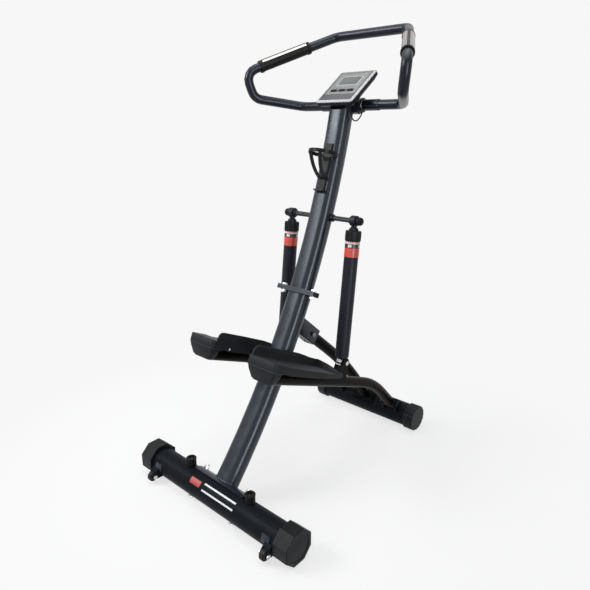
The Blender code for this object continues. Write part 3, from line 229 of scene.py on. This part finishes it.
def clear_selection():
    """Nothing selected, and edit mode back to picking points, whatever the last piece used."""
    if bpy.context.object is not None and bpy.context.object.mode != "OBJECT":
        bpy.ops.object.mode_set(mode="OBJECT")
    bpy.ops.object.select_all(action="DESELECT")
    bpy.context.tool_settings.mesh_select_mode = (True, False, False)


def walled(piece, thickness, offset=1.0):
    """Give a sheet its thickness, on its outer side unless the offset says otherwise."""
    wall = piece.modifiers.new("wall", "SOLIDIFY")
    wall.thickness = thickness
    wall.offset = offset


def eased(piece, width, sharper_than=30.0):
    """Round off the edges that are sharper than an angle."""
    rounding = piece.modifiers.new("eased_edges", "BEVEL")
    rounding.width = width
    rounding.segments = 2
    rounding.limit_method = "ANGLE"
    rounding.angle_limit = math.radians(sharper_than)


def settle(piece, material, body, soft_edge=35.0):
    """Leave the piece at the origin with its place in its mesh, smooth, dressed and riding."""
    clear_selection()
    piece.select_set(True)
    bpy.context.view_layer.objects.active = piece
    for modifier in list(piece.modifiers):
        bpy.ops.object.modifier_apply(modifier=modifier.name)
    bpy.ops.object.transform_apply(location=True, rotation=True, scale=True)
    bpy.ops.object.shade_smooth_by_angle(angle=math.radians(soft_edge))
    piece.data.materials.clear()
    piece.data.materials.append(material)
    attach(piece, body)


def refined(material, *names, soft_edge=38.0, ease=0.0):
    """Merged copies of CAD solids in their places, shaded smooth, their sharp edges eased."""
    record = frame["record"]
    for name in names:
        body = next(b for b, members in record["behaviour"]["bodies"].items() if name in members)
        clear_selection()
        skin = bpy.data.objects.new(name + "_skin", nodes[name].data.copy())
        scene.collection.objects.link(skin)
        skin.select_set(True)
        bpy.context.view_layer.objects.active = skin
        bpy.ops.mesh.customdata_custom_splitnormals_clear()
        bpy.ops.object.mode_set(mode="EDIT")
        bpy.ops.mesh.select_all(action="SELECT")
        bpy.ops.mesh.remove_doubles(threshold=0.000002)
        bpy.ops.mesh.dissolve_limited(angle_limit=math.radians(0.5))
        bpy.ops.object.mode_set(mode="OBJECT")
        if ease:
            eased(skin, ease, sharper_than=50.0)
        settle(skin, material, body, soft_edge)
        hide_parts(name)


tube_coat = powder_coat("tube_coat", TUBE_BLACK, roughness=0.44, ior=1.13)
refined(tube_coat, "rear_stabiliser", "front_stabiliser", *pairs("wheel_bracket"))

# Printed bands on the tube's upper rear side: one short red bar and a pair of long white rules,
# screen printed, so they are only a quarter of a millimetre proud of the coat.
TUBE_AXIS = Vector((0.0, -0.33995, 0.0414))
PATCH_R = 0.0371
PRINT_THICK = 0.00025
INK_ROUGHNESS = 0.45


def flat_ink(name, colour):
    """Printing ink, slightly uneven where it was squeezed through the screen."""
    material, tree, shader, place = start_material(name)
    speckle = noise(tree, place, 900.0, detail=4.0, roughness=0.6)
    wear = spread(tree, speckle, 0.0, 1.0, start=0.25, end=0.60)
    tree.links.new(tinted(tree, wear, scaled(colour, 0.80), colour), shader.inputs["Base Color"])
    shader.inputs["Roughness"].default_value = INK_ROUGHNESS
    raised(tree, shader, wear, strength=0.2, distance=0.00004)
    return material


def wrapped(name, x_low, x_high, angle_low, angle_high, columns, rows):
    """A patch bent round the rear tube, between two angles up from its rear."""
    clear_selection()
    bpy.ops.mesh.primitive_grid_add(x_subdivisions=columns, y_subdivisions=rows, size=1.0)
    patch = bpy.context.object
    patch.name = name
    for vertex in patch.data.vertices:
        x = x_low + (x_high - x_low) * (vertex.co.x + 0.5)
        angle = math.radians(angle_low + (angle_high - angle_low) * (vertex.co.y + 0.5))
        vertex.co = TUBE_AXIS + Vector((x, -PATCH_R * math.cos(angle), PATCH_R * math.sin(angle)))
    return patch


red_ink = flat_ink("red_ink", (0.36, 0.020, 0.016))
white_ink = flat_ink("white_ink", (0.78, 0.78, 0.77))
for name, x_low, x_high, angle_low, angle_high, ink in (
        ("tube_band_red", -0.080, -0.040, 34.0, 60.0, red_ink),
        ("tube_rule_0", -0.028, 0.092, 30.0, 37.0, white_ink),
        ("tube_rule_1", -0.028, 0.092, 57.0, 64.0, white_ink)):
    band = wrapped(name, x_low, x_high, angle_low, angle_high, columns=6, rows=8)
    walled(band, PRINT_THICK)
    settle(band, ink, "frame")

# End caps: thick moulded rubber-like plastic, eight flats at the rear and ribs at the front. The
# moulding has a fine spark-eroded grain and picks up a little grey dust from the floor.
CAP_BLACK = (0.0125, 0.0140, 0.0150)
DUST_GREY = (0.20, 0.195, 0.19)
DUST_HEIGHT = 0.05


def split_up(tree, place):
    """The three coordinates of a place, one by one."""
    split = tree.nodes.new("ShaderNodeSeparateXYZ")
    tree.links.new(place, split.inputs["Vector"])
    return split.outputs


def moulded(name, colour, roughness, grain, grain_depth, dust=0.0, ior=1.18):
    """Injection moulded plastic or rubber with a fine grain, and floor dust low down."""
    material, tree, shader, place = start_material(name)
    drift = spread(tree, noise(tree, place, 11.0, detail=5.0), 0.0, 1.0)
    tone = tinted(tree, drift, scaled(colour, 0.85), scaled(colour, 1.4, 0.0004))
    if dust:
        low_down = spread(tree, split_up(tree, place)["Z"], dust, 0.0, start=0.0, end=DUST_HEIGHT)
        patches = spread(tree, noise(tree, place, 60.0, detail=6.0, roughness=0.65), 0.0, 1.0)
        tone = tinted(tree, reckoned(tree, "MULTIPLY", low_down, patches), tone, DUST_GREY)
    tree.links.new(tone, shader.inputs["Base Color"])
    clouds = noise(tree, place, 30.0, detail=4.0)
    sheen = spread(tree, clouds, roughness - 0.05, roughness + 0.06)
    tree.links.new(sheen, shader.inputs["Roughness"])
    shader.inputs["IOR"].default_value = ior
    grains = noise(tree, place, grain, detail=4.0, roughness=0.6)
    raised(tree, shader, grains, strength=0.45, distance=grain_depth)
    return material


cap_rubber = moulded("cap_rubber", CAP_BLACK, roughness=0.34, grain=900.0, grain_depth=0.00008,
                     dust=0.16, ior=1.17)
refined(cap_rubber, *pairs("rear_cap"), soft_edge=12.0, ease=0.0010)
refined(cap_rubber, *pairs("front_cap"))

# Transport wheels: rollers of hard black plastic, each on a bright steel axle in a bent bracket
# behind the tube. The machine is tipped back onto them to be moved.
wheel_plastic = moulded("wheel_plastic", (0.013, 0.013, 0.014), roughness=0.38, grain=1100.0,
                        grain_depth=0.00008, dust=0.2)
dress(wheel_plastic, *pairs("transport_wheel"))

# Rubber stops on the tube: short turned posts with a flanged rim and a hollow top, on which the
# foot plates land at the end of their stroke.
stop_rubber = moulded("stop_rubber", (0.009, 0.009, 0.0095), roughness=0.48, grain=700.0,
                      grain_depth=0.00015)
dress(stop_rubber, *pairs("bumper"))

# Bolts, nuts, pins and axles: turned steel with the fine marks of the tool, zinc plated. The
# piston rods are as bright, and the screws in the stops are blackened.


def plated(name, colour, roughness, brush=900.0):
    """Plated steel with fine turning marks and a few dull patches."""
    material, tree, shader, place = start_material(name)
    drift = spread(tree, noise(tree, place, 140.0, detail=4.0), 0.0, 1.0)
    tree.links.new(tinted(tree, drift, scaled(colour, 0.72), colour), shader.inputs["Base Color"])
    shader.inputs["Metallic"].default_value = 1.0
    clouds = noise(tree, place, 210.0, detail=5.0)
    sheen = spread(tree, clouds, roughness - 0.06, roughness + 0.10)
    tree.links.new(sheen, shader.inputs["Roughness"])
    raised(tree, shader, noise(tree, place, brush), strength=0.25, distance=0.00005)
    return material


zinc = plated("zinc_plate", (0.66, 0.67, 0.68), roughness=0.24)
black_oxide = plated("black_oxide", (0.055, 0.058, 0.065), roughness=0.34)
dress(zinc, *pairs("saddle_nut", "saddle_bolt_head", "flange_bolt", "lower_pin", "wheel_axle",
                   "piston_rod"))

# Screws in the stops: a blackened socket head at the bottom of each hollow pulls the stop to the
# tube. The socket is sunk into the head's top.
STOP_SCREW = Vector((0.1165, -0.33195, 0.09745))
SCREW_R = 0.0054
SCREW_HEIGHT = 0.0040
SOCKET_RIM = 0.0024
SOCKET_DEPTH = 0.0022
SMALL_EDGE = 0.0004


def mirrored(point, side):
    """A point given for the right side, on either side."""
    return Vector((point.x * side, point.y, point.z))


for side, label in SIDES:
    clear_selection()
    bpy.ops.mesh.primitive_cylinder_add(vertices=24, radius=SCREW_R, depth=SCREW_HEIGHT,
                                        location=mirrored(STOP_SCREW, side))
    screw = bpy.context.object
    screw.name = "stop_screw_" + label
    for face in screw.data.polygons:
        face.select = face.normal.z > 0.9
    bpy.ops.object.mode_set(mode="EDIT")
    bpy.ops.mesh.select_mode(type="FACE")
    bpy.ops.mesh.inset(thickness=SOCKET_RIM)
    bpy.ops.mesh.extrude_region_move(TRANSFORM_OT_translate={"value": (0.0, 0.0, -SOCKET_DEPTH)})
    bpy.ops.object.mode_set(mode="OBJECT")
    eased(screw, SMALL_EDGE)
    settle(screw, black_oxide, "frame")

# Post: rectangular steel tube with round corners, bowed, in a slightly metallic slate-black coat.
# Both halves, their flanges, the saddle plate and the strut's socket carry the same coat.
post_coat = powder_coat("post_coat", (0.0125, 0.0165, 0.0240), roughness=0.24, metallic=0.05,
                        peel_depth=0.00006, ior=1.42, tint=(0.82, 0.92, 1.0))
refined(post_coat, "lower_post", "upper_post")

# Straps of the wheel brackets: a short curved plate, spot welded to the tube over the root of
# each bracket and coated with the post.
STRAP_X = 0.2130
STRAP_HALF = 0.0130
STRAP_THICK = 0.0015
STRAP_ANGLES = (-5.0, 29.0)
for side, label in SIDES:
    strap = wrapped("bracket_strap_" + label, STRAP_X * side - STRAP_HALF,
                    STRAP_X * side + STRAP_HALF, *STRAP_ANGLES, columns=3, rows=10)
    walled(strap, STRAP_THICK)
    eased(strap, SMALL_EDGE)
    settle(strap, post_coat, "frame")

# Weld round the post's foot: one pass of weld under the coat, where the bowed tube meets the
# curved saddle plate.
POST_FOOT = Vector((0.0, -0.32605, 0.0414))
POST_AXIS = Vector((0.0, 0.64945, 0.76041))
POST_FRONT = Vector((0.0, 0.76041, -0.64945))
POST_HALF = (0.0330, 0.0240)
POST_CORNER = 0.0185
PLATE_R = 0.0424
WELD_RING = 0.04
WELD_R = 0.0026
WELD_GAP = 0.0003
WELD_RIPPLES = 46.0
RIPPLE_SHARE = 0.10


def post_outline(angle):
    """Distance from the post's axis to its wall in one direction of its section, by halving."""
    near, far = 0.0, 0.06
    for halving in range(24):
        reach = (near + far) / 2
        side = max(abs(reach * math.cos(angle)) - POST_HALF[0] + POST_CORNER, 0.0)
        face = max(abs(reach * math.sin(angle)) - POST_HALF[1] + POST_CORNER, 0.0)
        near, far = (reach, far) if math.hypot(side, face) < POST_CORNER else (near, reach)
    return near


def on_plate(point):
    """Slide a point along the post's axis to the top of the saddle plate."""
    offset = point - TUBE_AXIS
    offset.x = 0.0
    along = offset.dot(POST_AXIS)
    rise = math.sqrt(along * along - offset.length_squared + PLATE_R * PLATE_R) - along
    return point + POST_AXIS * rise


clear_selection()
bpy.ops.mesh.primitive_torus_add(major_segments=96, minor_segments=10, major_radius=WELD_RING,
                                 minor_radius=WELD_R)
foot_weld = bpy.context.object
foot_weld.name = "foot_weld"
for vertex in foot_weld.data.vertices:
    angle = math.atan2(vertex.co.y, vertex.co.x)
    ripple = 1.0 + RIPPLE_SHARE * math.sin(angle * WELD_RIPPLES)
    proud = (math.hypot(vertex.co.x, vertex.co.y) - WELD_RING) * ripple
    reach = post_outline(angle) + WELD_GAP + proud
    across = POST_FOOT + Vector((reach * math.cos(angle), 0.0, 0.0))
    spot = on_plate(across + POST_FRONT * reach * math.sin(angle))
    vertex.co = spot + POST_AXIS * (vertex.co.z * ripple)
settle(foot_weld, post_coat, "frame", soft_edge=60.0)

# Front strut and its cross bolt: a round steel tube coated in plain black. The bolt through it
# and its socket is plated in a duller grey than the others.
strut_coat = powder_coat("strut_coat", (0.0030, 0.0030, 0.0032), roughness=0.36, ior=1.10)
refined(strut_coat, "front_strut")
bolt_grey = plated("bolt_grey", (0.20, 0.21, 0.22), roughness=0.30)
dress(bolt_grey, "strut_bolt")

# Crossrod, console bracket and pivot bolts: bare steel that was blackened in a hot bath, so it
# keeps a dark metallic sheen.
dress(black_oxide, "crossrod", "console_bracket", *pairs("pivot_bolt"))

# Ring at the socket's mouth: the plated end of the sleeve that the strut slides into. It is cut
# flat where it meets the socket.
STRUT_MOUTH = Vector((0.0, 0.04455, 0.3805))
STRUT_AXIS = Vector((0.0, 0.76604, -0.64279))
RING_R = 0.0181
RING_WIRE = 0.0011
RING_OUT = 0.0010
RING_CUT = 0.0002


def cut_away(place, beyond):
    """Cut off what lies beyond a plane through a place, and close the cut."""
    bpy.ops.object.mode_set(mode="EDIT")
    bpy.ops.mesh.select_all(action="SELECT")
    bpy.ops.mesh.bisect(plane_co=place, plane_no=beyond, clear_outer=True, use_fill=True)
    bpy.ops.object.mode_set(mode="OBJECT")


clear_selection()
bpy.ops.mesh.primitive_torus_add(
    major_segments=48, minor_segments=10, major_radius=RING_R, minor_radius=RING_WIRE,
    location=STRUT_MOUTH + STRUT_AXIS * RING_OUT,
    rotation=STRUT_AXIS.to_track_quat("Z", "Y").to_euler())
strut_ring = bpy.context.object
strut_ring.name = "strut_ring"
cut_away(STRUT_MOUTH + STRUT_AXIS * RING_CUT, -STRUT_AXIS)
settle(strut_ring, bolt_grey, "frame")

# Pedal arms: bent steel tube with a pivot sleeve and damper ears welded on. The coat is a little
# warmer than on the rest of the frame.
arm_coat = powder_coat("arm_coat", (0.0066, 0.0052, 0.0042), roughness=0.32, ior=1.12,
                       tint=(1.0, 0.93, 0.85))
refined(arm_coat, *pairs("pedal_arm"))

# Foot plates and heel blocks: moulded nylon with a coarse, slightly dusty grain. Their edges are
# rounded as they leave the mould.
nylon = moulded("pedal_nylon", (0.0165, 0.0180, 0.0205), roughness=0.46, grain=520.0,
                grain_depth=0.00022)
refined(nylon, *pairs("pedal_tray", "heel_block"), ease=0.0008)

# Parting line of the foot plates: where heel block and plate meet, the mould leaves a thin raised
# flash all round the heel, coloured a paler grey than the plate.
PEDAL_X = 0.112
PEDAL_HEEL = Vector((0.0, -0.27395, 0.4468))
PEDAL_DOWN = Vector((0.0, 0.90996, -0.41469))
PEDAL_OUT = Vector((0.0, 0.41469, 0.90996))
SEAM_WIDE = 0.0974
SEAM_LONG = 0.0424
SEAM_ROUND = 0.0100
SEAM_HIGH = 0.0007
SEAM_WALL = 0.0010
SEAM_MIDDLE = 0.0211
SEAM_END = 0.0340
SEAM_BELOW = 0.0223
flash_grey = moulded("flash_grey", (0.075, 0.078, 0.082), roughness=0.50, grain=900.0,
                     grain_depth=0.00005)


def pedal_point(side, across, along, above):
    """A point in a pedal's own frame: across to the right, along to the toe, above its top."""
    heel = PEDAL_HEEL + Vector((PEDAL_X * side + across, 0.0, 0.0))
    return heel + PEDAL_DOWN * along + PEDAL_OUT * above


for side, label in SIDES:
    clear_selection()
    bpy.ops.mesh.primitive_plane_add(size=1.0)
    flash = bpy.context.object
    flash.name = "heel_flash_" + label
    bpy.ops.object.mode_set(mode="EDIT")
    bpy.ops.mesh.select_all(action="SELECT")
    bpy.ops.transform.resize(value=(SEAM_WIDE, SEAM_LONG, 1.0))
    bpy.ops.mesh.bevel(offset=SEAM_ROUND, segments=6, affect="VERTICES")
    bpy.ops.mesh.delete(type="ONLY_FACE")
    bpy.ops.mesh.select_all(action="SELECT")
    bpy.ops.mesh.extrude_region_move(TRANSFORM_OT_translate={"value": (0.0, 0.0, SEAM_HIGH)})
    bpy.ops.object.mode_set(mode="OBJECT")
    for vertex in flash.data.vertices:
        x, y, z = vertex.co
        vertex.co = pedal_point(side, x, min(y + SEAM_MIDDLE, SEAM_END), z - SEAM_BELOW)
    walled(flash, SEAM_WALL, offset=0.0)
    settle(flash, flash_grey, "pedal_" + label)

# Wall screws: a round zinc head on the post's side of each pedal, which holds the guard wall's
# foot to the frame of the plate.
WALL_SCREW = (0.0485, 0.0640, -0.0174)
WALL_SCREW_R = 0.0030
WALL_SCREW_FLAT = 0.45
for side, label in SIDES:
    clear_selection()
    across, along, above = WALL_SCREW
    centre = pedal_point(side, -side * across, along, above)
    bpy.ops.mesh.primitive_uv_sphere_add(segments=20, ring_count=12, radius=WALL_SCREW_R,
                                         location=centre)
    head = bpy.context.object
    head.name = "wall_screw_" + label
    bpy.ops.object.mode_set(mode="EDIT")
    bpy.ops.mesh.select_all(action="SELECT")
    bpy.ops.transform.resize(value=(WALL_SCREW_FLAT, 1.0, 1.0), center_override=centre)
    bpy.ops.object.mode_set(mode="OBJECT")
    cut_away(centre, (side, 0.0, 0.0))
    settle(head, zinc, "pedal_" + label)

# Dampers: painted steel cylinders, hung from the crossrod by an eye. Each has a ribbed adjuster
# knob round its neck, of the same black plastic as the crossrod's end covers.
cylinder_coat = powder_coat("cylinder_coat", (0.0150, 0.0160, 0.0225), roughness=0.40,
                            peel=380.0, ior=1.25)
refined(cylinder_coat, *pairs("damper_cylinder"))
knob_plastic = moulded("knob_plastic", (0.0085, 0.0090, 0.0100), roughness=0.40, grain=900.0,
                       grain_depth=0.0001)
dress(knob_plastic, *pairs("adjuster_knob", "crossrod_cap"))

# Wrap-round foils under each knob: a white band with red teeth, a black band with white patches
# and a red band with pale rules, each printed and glued on.
DAMPER_R = 0.0200
DAMPER_TOP = Vector((0.112, 0.08555, 0.732))
DAMPER_DOWN = Vector((0.0, -0.10493, -0.99448))
FOIL_GAP = 0.0001
FOIL_THICK = 0.0003
FOILS = (  # kind, from and to below the damper's top
    ("teeth", 0.0548, 0.0612), ("patch", 0.0612, 0.0722), ("rules", 0.0722, 0.0972))
FOIL_BLACK = (0.012, 0.012, 0.013)
FOIL_WHITE = (0.74, 0.73, 0.71)
FOIL_RED = (0.62, 0.050, 0.030)
FOIL_PALE_RED = (0.74, 0.30, 0.24)


def step(tree, value, edge, above=True):
    """1 where the value is above the edge, or below it, 0 elsewhere."""
    return reckoned(tree, "GREATER_THAN" if above else "LESS_THAN", value, edge)


def both(tree, first, second):
    """1 where both are 1."""
    return reckoned(tree, "MULTIPLY", first, second)


def teeth(tree, value, count, width):
    """A comb of that many teeth along a value that runs from 0 to 1."""
    comb = reckoned(tree, "FRACT", reckoned(tree, "MULTIPLY", value, count))
    return step(tree, comb, width, above=False)


def label_foil(kind):
    """The print of one foil, laid out on its wrap-round map."""
    material, tree, shader, place = start_material("label_" + kind)
    chart = split_up(tree, tree.nodes.new("ShaderNodeUVMap").outputs["UV"])
    around, up = chart["X"], chart["Y"]
    if kind == "teeth":
        mask = both(tree, teeth(tree, around, count=22.0, width=0.55), step(tree, up, 0.42))
        colour = tinted(tree, mask, FOIL_WHITE, FOIL_RED)
    elif kind == "patch":
        middle = both(tree, step(tree, up, 0.16), step(tree, up, 0.84, above=False))
        mask = both(tree, teeth(tree, around, count=4.0, width=0.34), middle)
        colour = tinted(tree, mask, FOIL_BLACK, FOIL_WHITE)
    else:
        mask = both(tree, teeth(tree, up, count=7.0, width=0.16),
                    teeth(tree, around, count=5.0, width=0.7))
        colour = tinted(tree, mask, FOIL_RED, FOIL_PALE_RED)
    tree.links.new(colour, shader.inputs["Base Color"])
    sheen = spread(tree, noise(tree, place, 40.0, detail=3.0), 0.28, 0.38)
    tree.links.new(sheen, shader.inputs["Roughness"])
    raised(tree, shader, noise(tree, place, 300.0), strength=0.2, distance=0.00005)
    return material


foil_prints = {kind: label_foil(kind) for kind, low, high in FOILS}
for side, label in SIDES:
    for kind, low, high in FOILS:
        clear_selection()
        bpy.ops.mesh.primitive_cylinder_add(
            vertices=72, radius=DAMPER_R + FOIL_GAP, depth=high - low, end_fill_type="NOTHING",
            location=mirrored(DAMPER_TOP, side) + DAMPER_DOWN * (low + high) / 2,
            rotation=(-DAMPER_DOWN).to_track_quat("Z", "Y").to_euler())
        foil = bpy.context.object
        foil.name = "label_%s_%s" % (kind, label)
        walled(foil, FOIL_THICK)
        settle(foil, foil_prints[kind], "damper_" + label)

# Handlebar: one bent tube whose ends meet in the sleeve in front of the post. Its powder coat is
# a shade bluer and glossier than on the base.
bar_coat = powder_coat("bar_coat", (0.0052, 0.0064, 0.0110), roughness=0.27, peel_depth=0.00003,
                       ior=1.34, tint=(0.80, 0.87, 1.0))
refined(bar_coat, "handlebar")

# Handlebar clamp and pulse grips: moulded black plastic halves over the tube. Each grip carries a
# contact plate of brushed metal, which reads the pulse.
grip_plastic = moulded("grip_plastic", (0.0135, 0.0135, 0.0145), roughness=0.40, grain=800.0,
                       grain_depth=0.0001)
refined(grip_plastic, *pairs("grip"), "handlebar_clamp")
contact = plated("contact_plate", (0.36, 0.345, 0.33), roughness=0.26, brush=300.0)
refined(contact, *pairs("pulse_plate"))

# Dividers of the contact plates: a narrow rib of the grip's plastic parts each plate in two, so
# that every hand lies on two contacts.
GRIP_NEAR = Vector((0.2650, 0.05305, 1.1230))
GRIP_FAR = Vector((0.1220, 0.29505, 1.2290))
RIB_MIDDLE = 0.127
RIB_LONG = 0.141
RIB_R = 0.01705
RIB_ANGLE = 76.0
RIB_SWEEP = 26.0
RIB_THICK = 0.0005
for side, label in SIDES:
    start = mirrored(GRIP_NEAR, side)
    along = (mirrored(GRIP_FAR, side) - start).normalized()
    outward = (Vector((side, 0.0, 0.0)) - along * along.x * side).normalized()
    upward = Vector((0.0, -along.z, along.y)).normalized()
    clear_selection()
    bpy.ops.mesh.primitive_grid_add(x_subdivisions=4, y_subdivisions=6, size=1.0)
    rib = bpy.context.object
    rib.name = "plate_divider_" + label
    for vertex in rib.data.vertices:
        angle = math.radians(RIB_ANGLE + RIB_SWEEP * vertex.co.y * side)
        round_bar = outward * math.cos(angle) + upward * math.sin(angle)
        vertex.co = start + along * (RIB_MIDDLE + RIB_LONG * vertex.co.x) + round_bar * RIB_R
    walled(rib, RIB_THICK)
    settle(rib, grip_plastic, "frame")

# Collar at the clamp's end: a grey steel ring round the low bar that stops it from sliding. It
# is cut flat where it lies against the clamp.
COLLAR_PLACE = (0.0468, 0.20505, 1.0320)
COLLAR_R = 0.0158
COLLAR_WIRE = 0.0012
COLLAR_CUT = (0.0460, 0.0, 0.0)
clear_selection()
bpy.ops.mesh.primitive_torus_add(
    major_segments=48, minor_segments=10, major_radius=COLLAR_R, minor_radius=COLLAR_WIRE,
    location=COLLAR_PLACE, rotation=(0.0, math.radians(90.0), 0.0))
collar = bpy.context.object
collar.name = "bar_collar"
cut_away(COLLAR_CUT, (-1.0, 0.0, 0.0))
settle(collar, bolt_grey, "frame")

# Console: a black moulded housing with a battery door behind and three rubber keys in front. Its
# bezel is sprayed silver and printed with a key field and strip. The dark frame round its panel is
# painted shadow in the gap between panel and rim.
CONSOLE_CORNER = Vector((0.0, 0.12315, 1.0412))
CONSOLE_UP = Vector((0.0, 0.81004, 0.58637))
CONSOLE_OUT = Vector((0.0, -0.58637, 0.81004))
MILLIMETRES = 1000.0
SILVER_DARK = (0.30, 0.31, 0.325)
SILVER_LIGHT = (0.37, 0.38, 0.395)
BEZEL_AREAS = (  # left, right, bottom and top in millimetres, colour; each covers the last:
    # painted shadow in the gap round the panel, panel, key field, the window's pale frame,
    # window, display, line and strip
    (-54.0, 54.0, 7.0, 138.0, (0.020, 0.021, 0.023)),
    (-50.5, 50.5, 8.5, 137.0, (0.190, 0.195, 0.193)),
    (-50.5, 50.5, 8.5, 34.0, (0.066, 0.069, 0.072)),
    (-42.0, 42.0, 35.0, 127.0, (0.36, 0.365, 0.36)),
    (-41.0, 41.0, 36.0, 126.0, (0.192, 0.197, 0.195)),
    (-36.0, 36.0, 73.0, 118.0, (0.33, 0.34, 0.335)),
    (-30.0, 30.0, 130.0, 133.0, (0.10, 0.10, 0.105)),
    (-40.0, 40.0, 44.0, 56.0, (0.052, 0.055, 0.058)))
housing_black = moulded("housing_black", (0.0085, 0.0090, 0.0110), roughness=0.38, grain=900.0,
                        grain_depth=0.0001)
dress(housing_black, "console_housing", "battery_door", "key_right", "key_middle", "key_left")


def weighed(tree, value, gain, shift=0.0):
    """value times gain plus shift."""
    sum_up = tree.nodes.new("ShaderNodeMath")
    sum_up.operation = "MULTIPLY_ADD"
    sum_up.inputs[1].default_value = gain
    sum_up.inputs[2].default_value = shift
    tree.links.new(value, sum_up.inputs[0])
    return sum_up.outputs["Value"]


def window(tree, across, up, left, right, bottom, top):
    """1 inside a rectangle of the console's face, in millimetres."""
    wide = both(tree, step(tree, across, left), step(tree, across, right, above=False))
    high = both(tree, step(tree, up, bottom), step(tree, up, top, above=False))
    return both(tree, wide, high)


bezel_print, tree, shader, place = start_material("bezel_print")
coordinates = split_up(tree, place)
across = weighed(tree, coordinates["X"], MILLIMETRES)
share_y, share_z = MILLIMETRES * CONSOLE_UP.y, MILLIMETRES * CONSOLE_UP.z
up = reckoned(tree, "ADD", weighed(tree, coordinates["Y"], share_y, -share_y * CONSOLE_CORNER.y),
              weighed(tree, coordinates["Z"], share_z, -share_z * CONSOLE_CORNER.z))
coat_drift = spread(tree, noise(tree, place, 120.0, detail=4.0), 0.0, 1.0)
face = tinted(tree, coat_drift, SILVER_DARK, SILVER_LIGHT)
for left, right, bottom, top, colour in BEZEL_AREAS:
    face = tinted(tree, window(tree, across, up, left, right, bottom, top), face, colour)
tree.links.new(face, shader.inputs["Base Color"])
sheen = spread(tree, noise(tree, place, 60.0, detail=3.0), 0.26, 0.38)
tree.links.new(sheen, shader.inputs["Roughness"])
shader.inputs["Metallic"].default_value = 0.10
raised(tree, shader, noise(tree, place, 1500.0), strength=0.2, distance=0.00004)
dress(bezel_print, "console_bezel")
window_grey = moulded("window_grey", (0.105, 0.112, 0.112), roughness=0.20, grain=1400.0,
                      grain_depth=0.00001)
dress(window_grey, "display")

# Pulse cable: a thin limp lead from the grips that leaves the low bar beside the clamp, hangs in
# a short loop and goes up into the low edge of the console's housing.
CABLE_EXIT = Vector((0.0520, 0.195215, 1.020279))
CABLE_ROUTE = ((0.0514, 0.18955, 1.0105), (0.0503, 0.18405, 1.0015), (0.0485, 0.17805, 0.9945),
               (0.0460, 0.17105, 0.9905), (0.0433, 0.16405, 0.9915), (0.0412, 0.15855, 0.9975),
               (0.0402, 0.15525, 1.0070))
CABLE_DIAMETER = 0.0034
SOCKET_X = 0.0400
SOCKET_UP = 0.0102
SOCKET_BEHIND = 0.022
SOCKET_DROPS = (0.010, 0.0006)
CURVE_STEPS = 3
socket_at = CONSOLE_CORNER + Vector((SOCKET_X, 0.0, 0.0)) + CONSOLE_UP * SOCKET_UP
knots = [CABLE_EXIT] + [Vector(p) for p in CABLE_ROUTE]
knots += [socket_at - CONSOLE_OUT * (SOCKET_BEHIND + drop) for drop in SOCKET_DROPS]
knots = [knots[0] * 2 - knots[1]] + knots + [knots[-1] * 2 - knots[-2]]
line = []
# a smooth curve through the knots: every span between b and c bends as a and d ask
for a, b, c, d in zip(knots, knots[1:], knots[2:], knots[3:]):
    for i in range(CURVE_STEPS):
        t = i / CURVE_STEPS
        line.append((b * 2 + (c - a) * t + (a * 2 - b * 5 + c * 4 - d) * t ** 2
                     + (b * 3 - a - c * 3 + d) * t ** 3) * 0.5)
line.append(knots[-2])
lead = bpy.data.curves.new("pulse_lead", "CURVE")
lead.dimensions = "3D"
lead.bevel_depth = CABLE_DIAMETER / 2
lead.bevel_resolution = 4
lead.use_fill_caps = True
spline = lead.splines.new("POLY")
spline.points.add(len(line) - 1)
for point, spot in zip(spline.points, line):
    point.co = (*spot, 1.0)
pulse_lead = bpy.data.objects.new("pulse_lead", lead)
scene.collection.objects.link(pulse_lead)
lead_rubber = moulded("lead_rubber", (0.016, 0.016, 0.017), roughness=0.34, grain=1500.0,
                      grain_depth=0.00003)
lead.materials.append(lead_rubber)
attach(pulse_lead, "frame")
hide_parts("pulse_cable")

# Bottle cage: one glossy black moulding, a spine that carries a ring, two curved strips and a
# lower lip. It is screwed to the back of the post.
cage_plastic = moulded("cage_plastic", (0.0115, 0.0118, 0.0125), roughness=0.26, grain=500.0,
                       grain_depth=0.0001)
refined(cage_plastic, "bottle_cage")
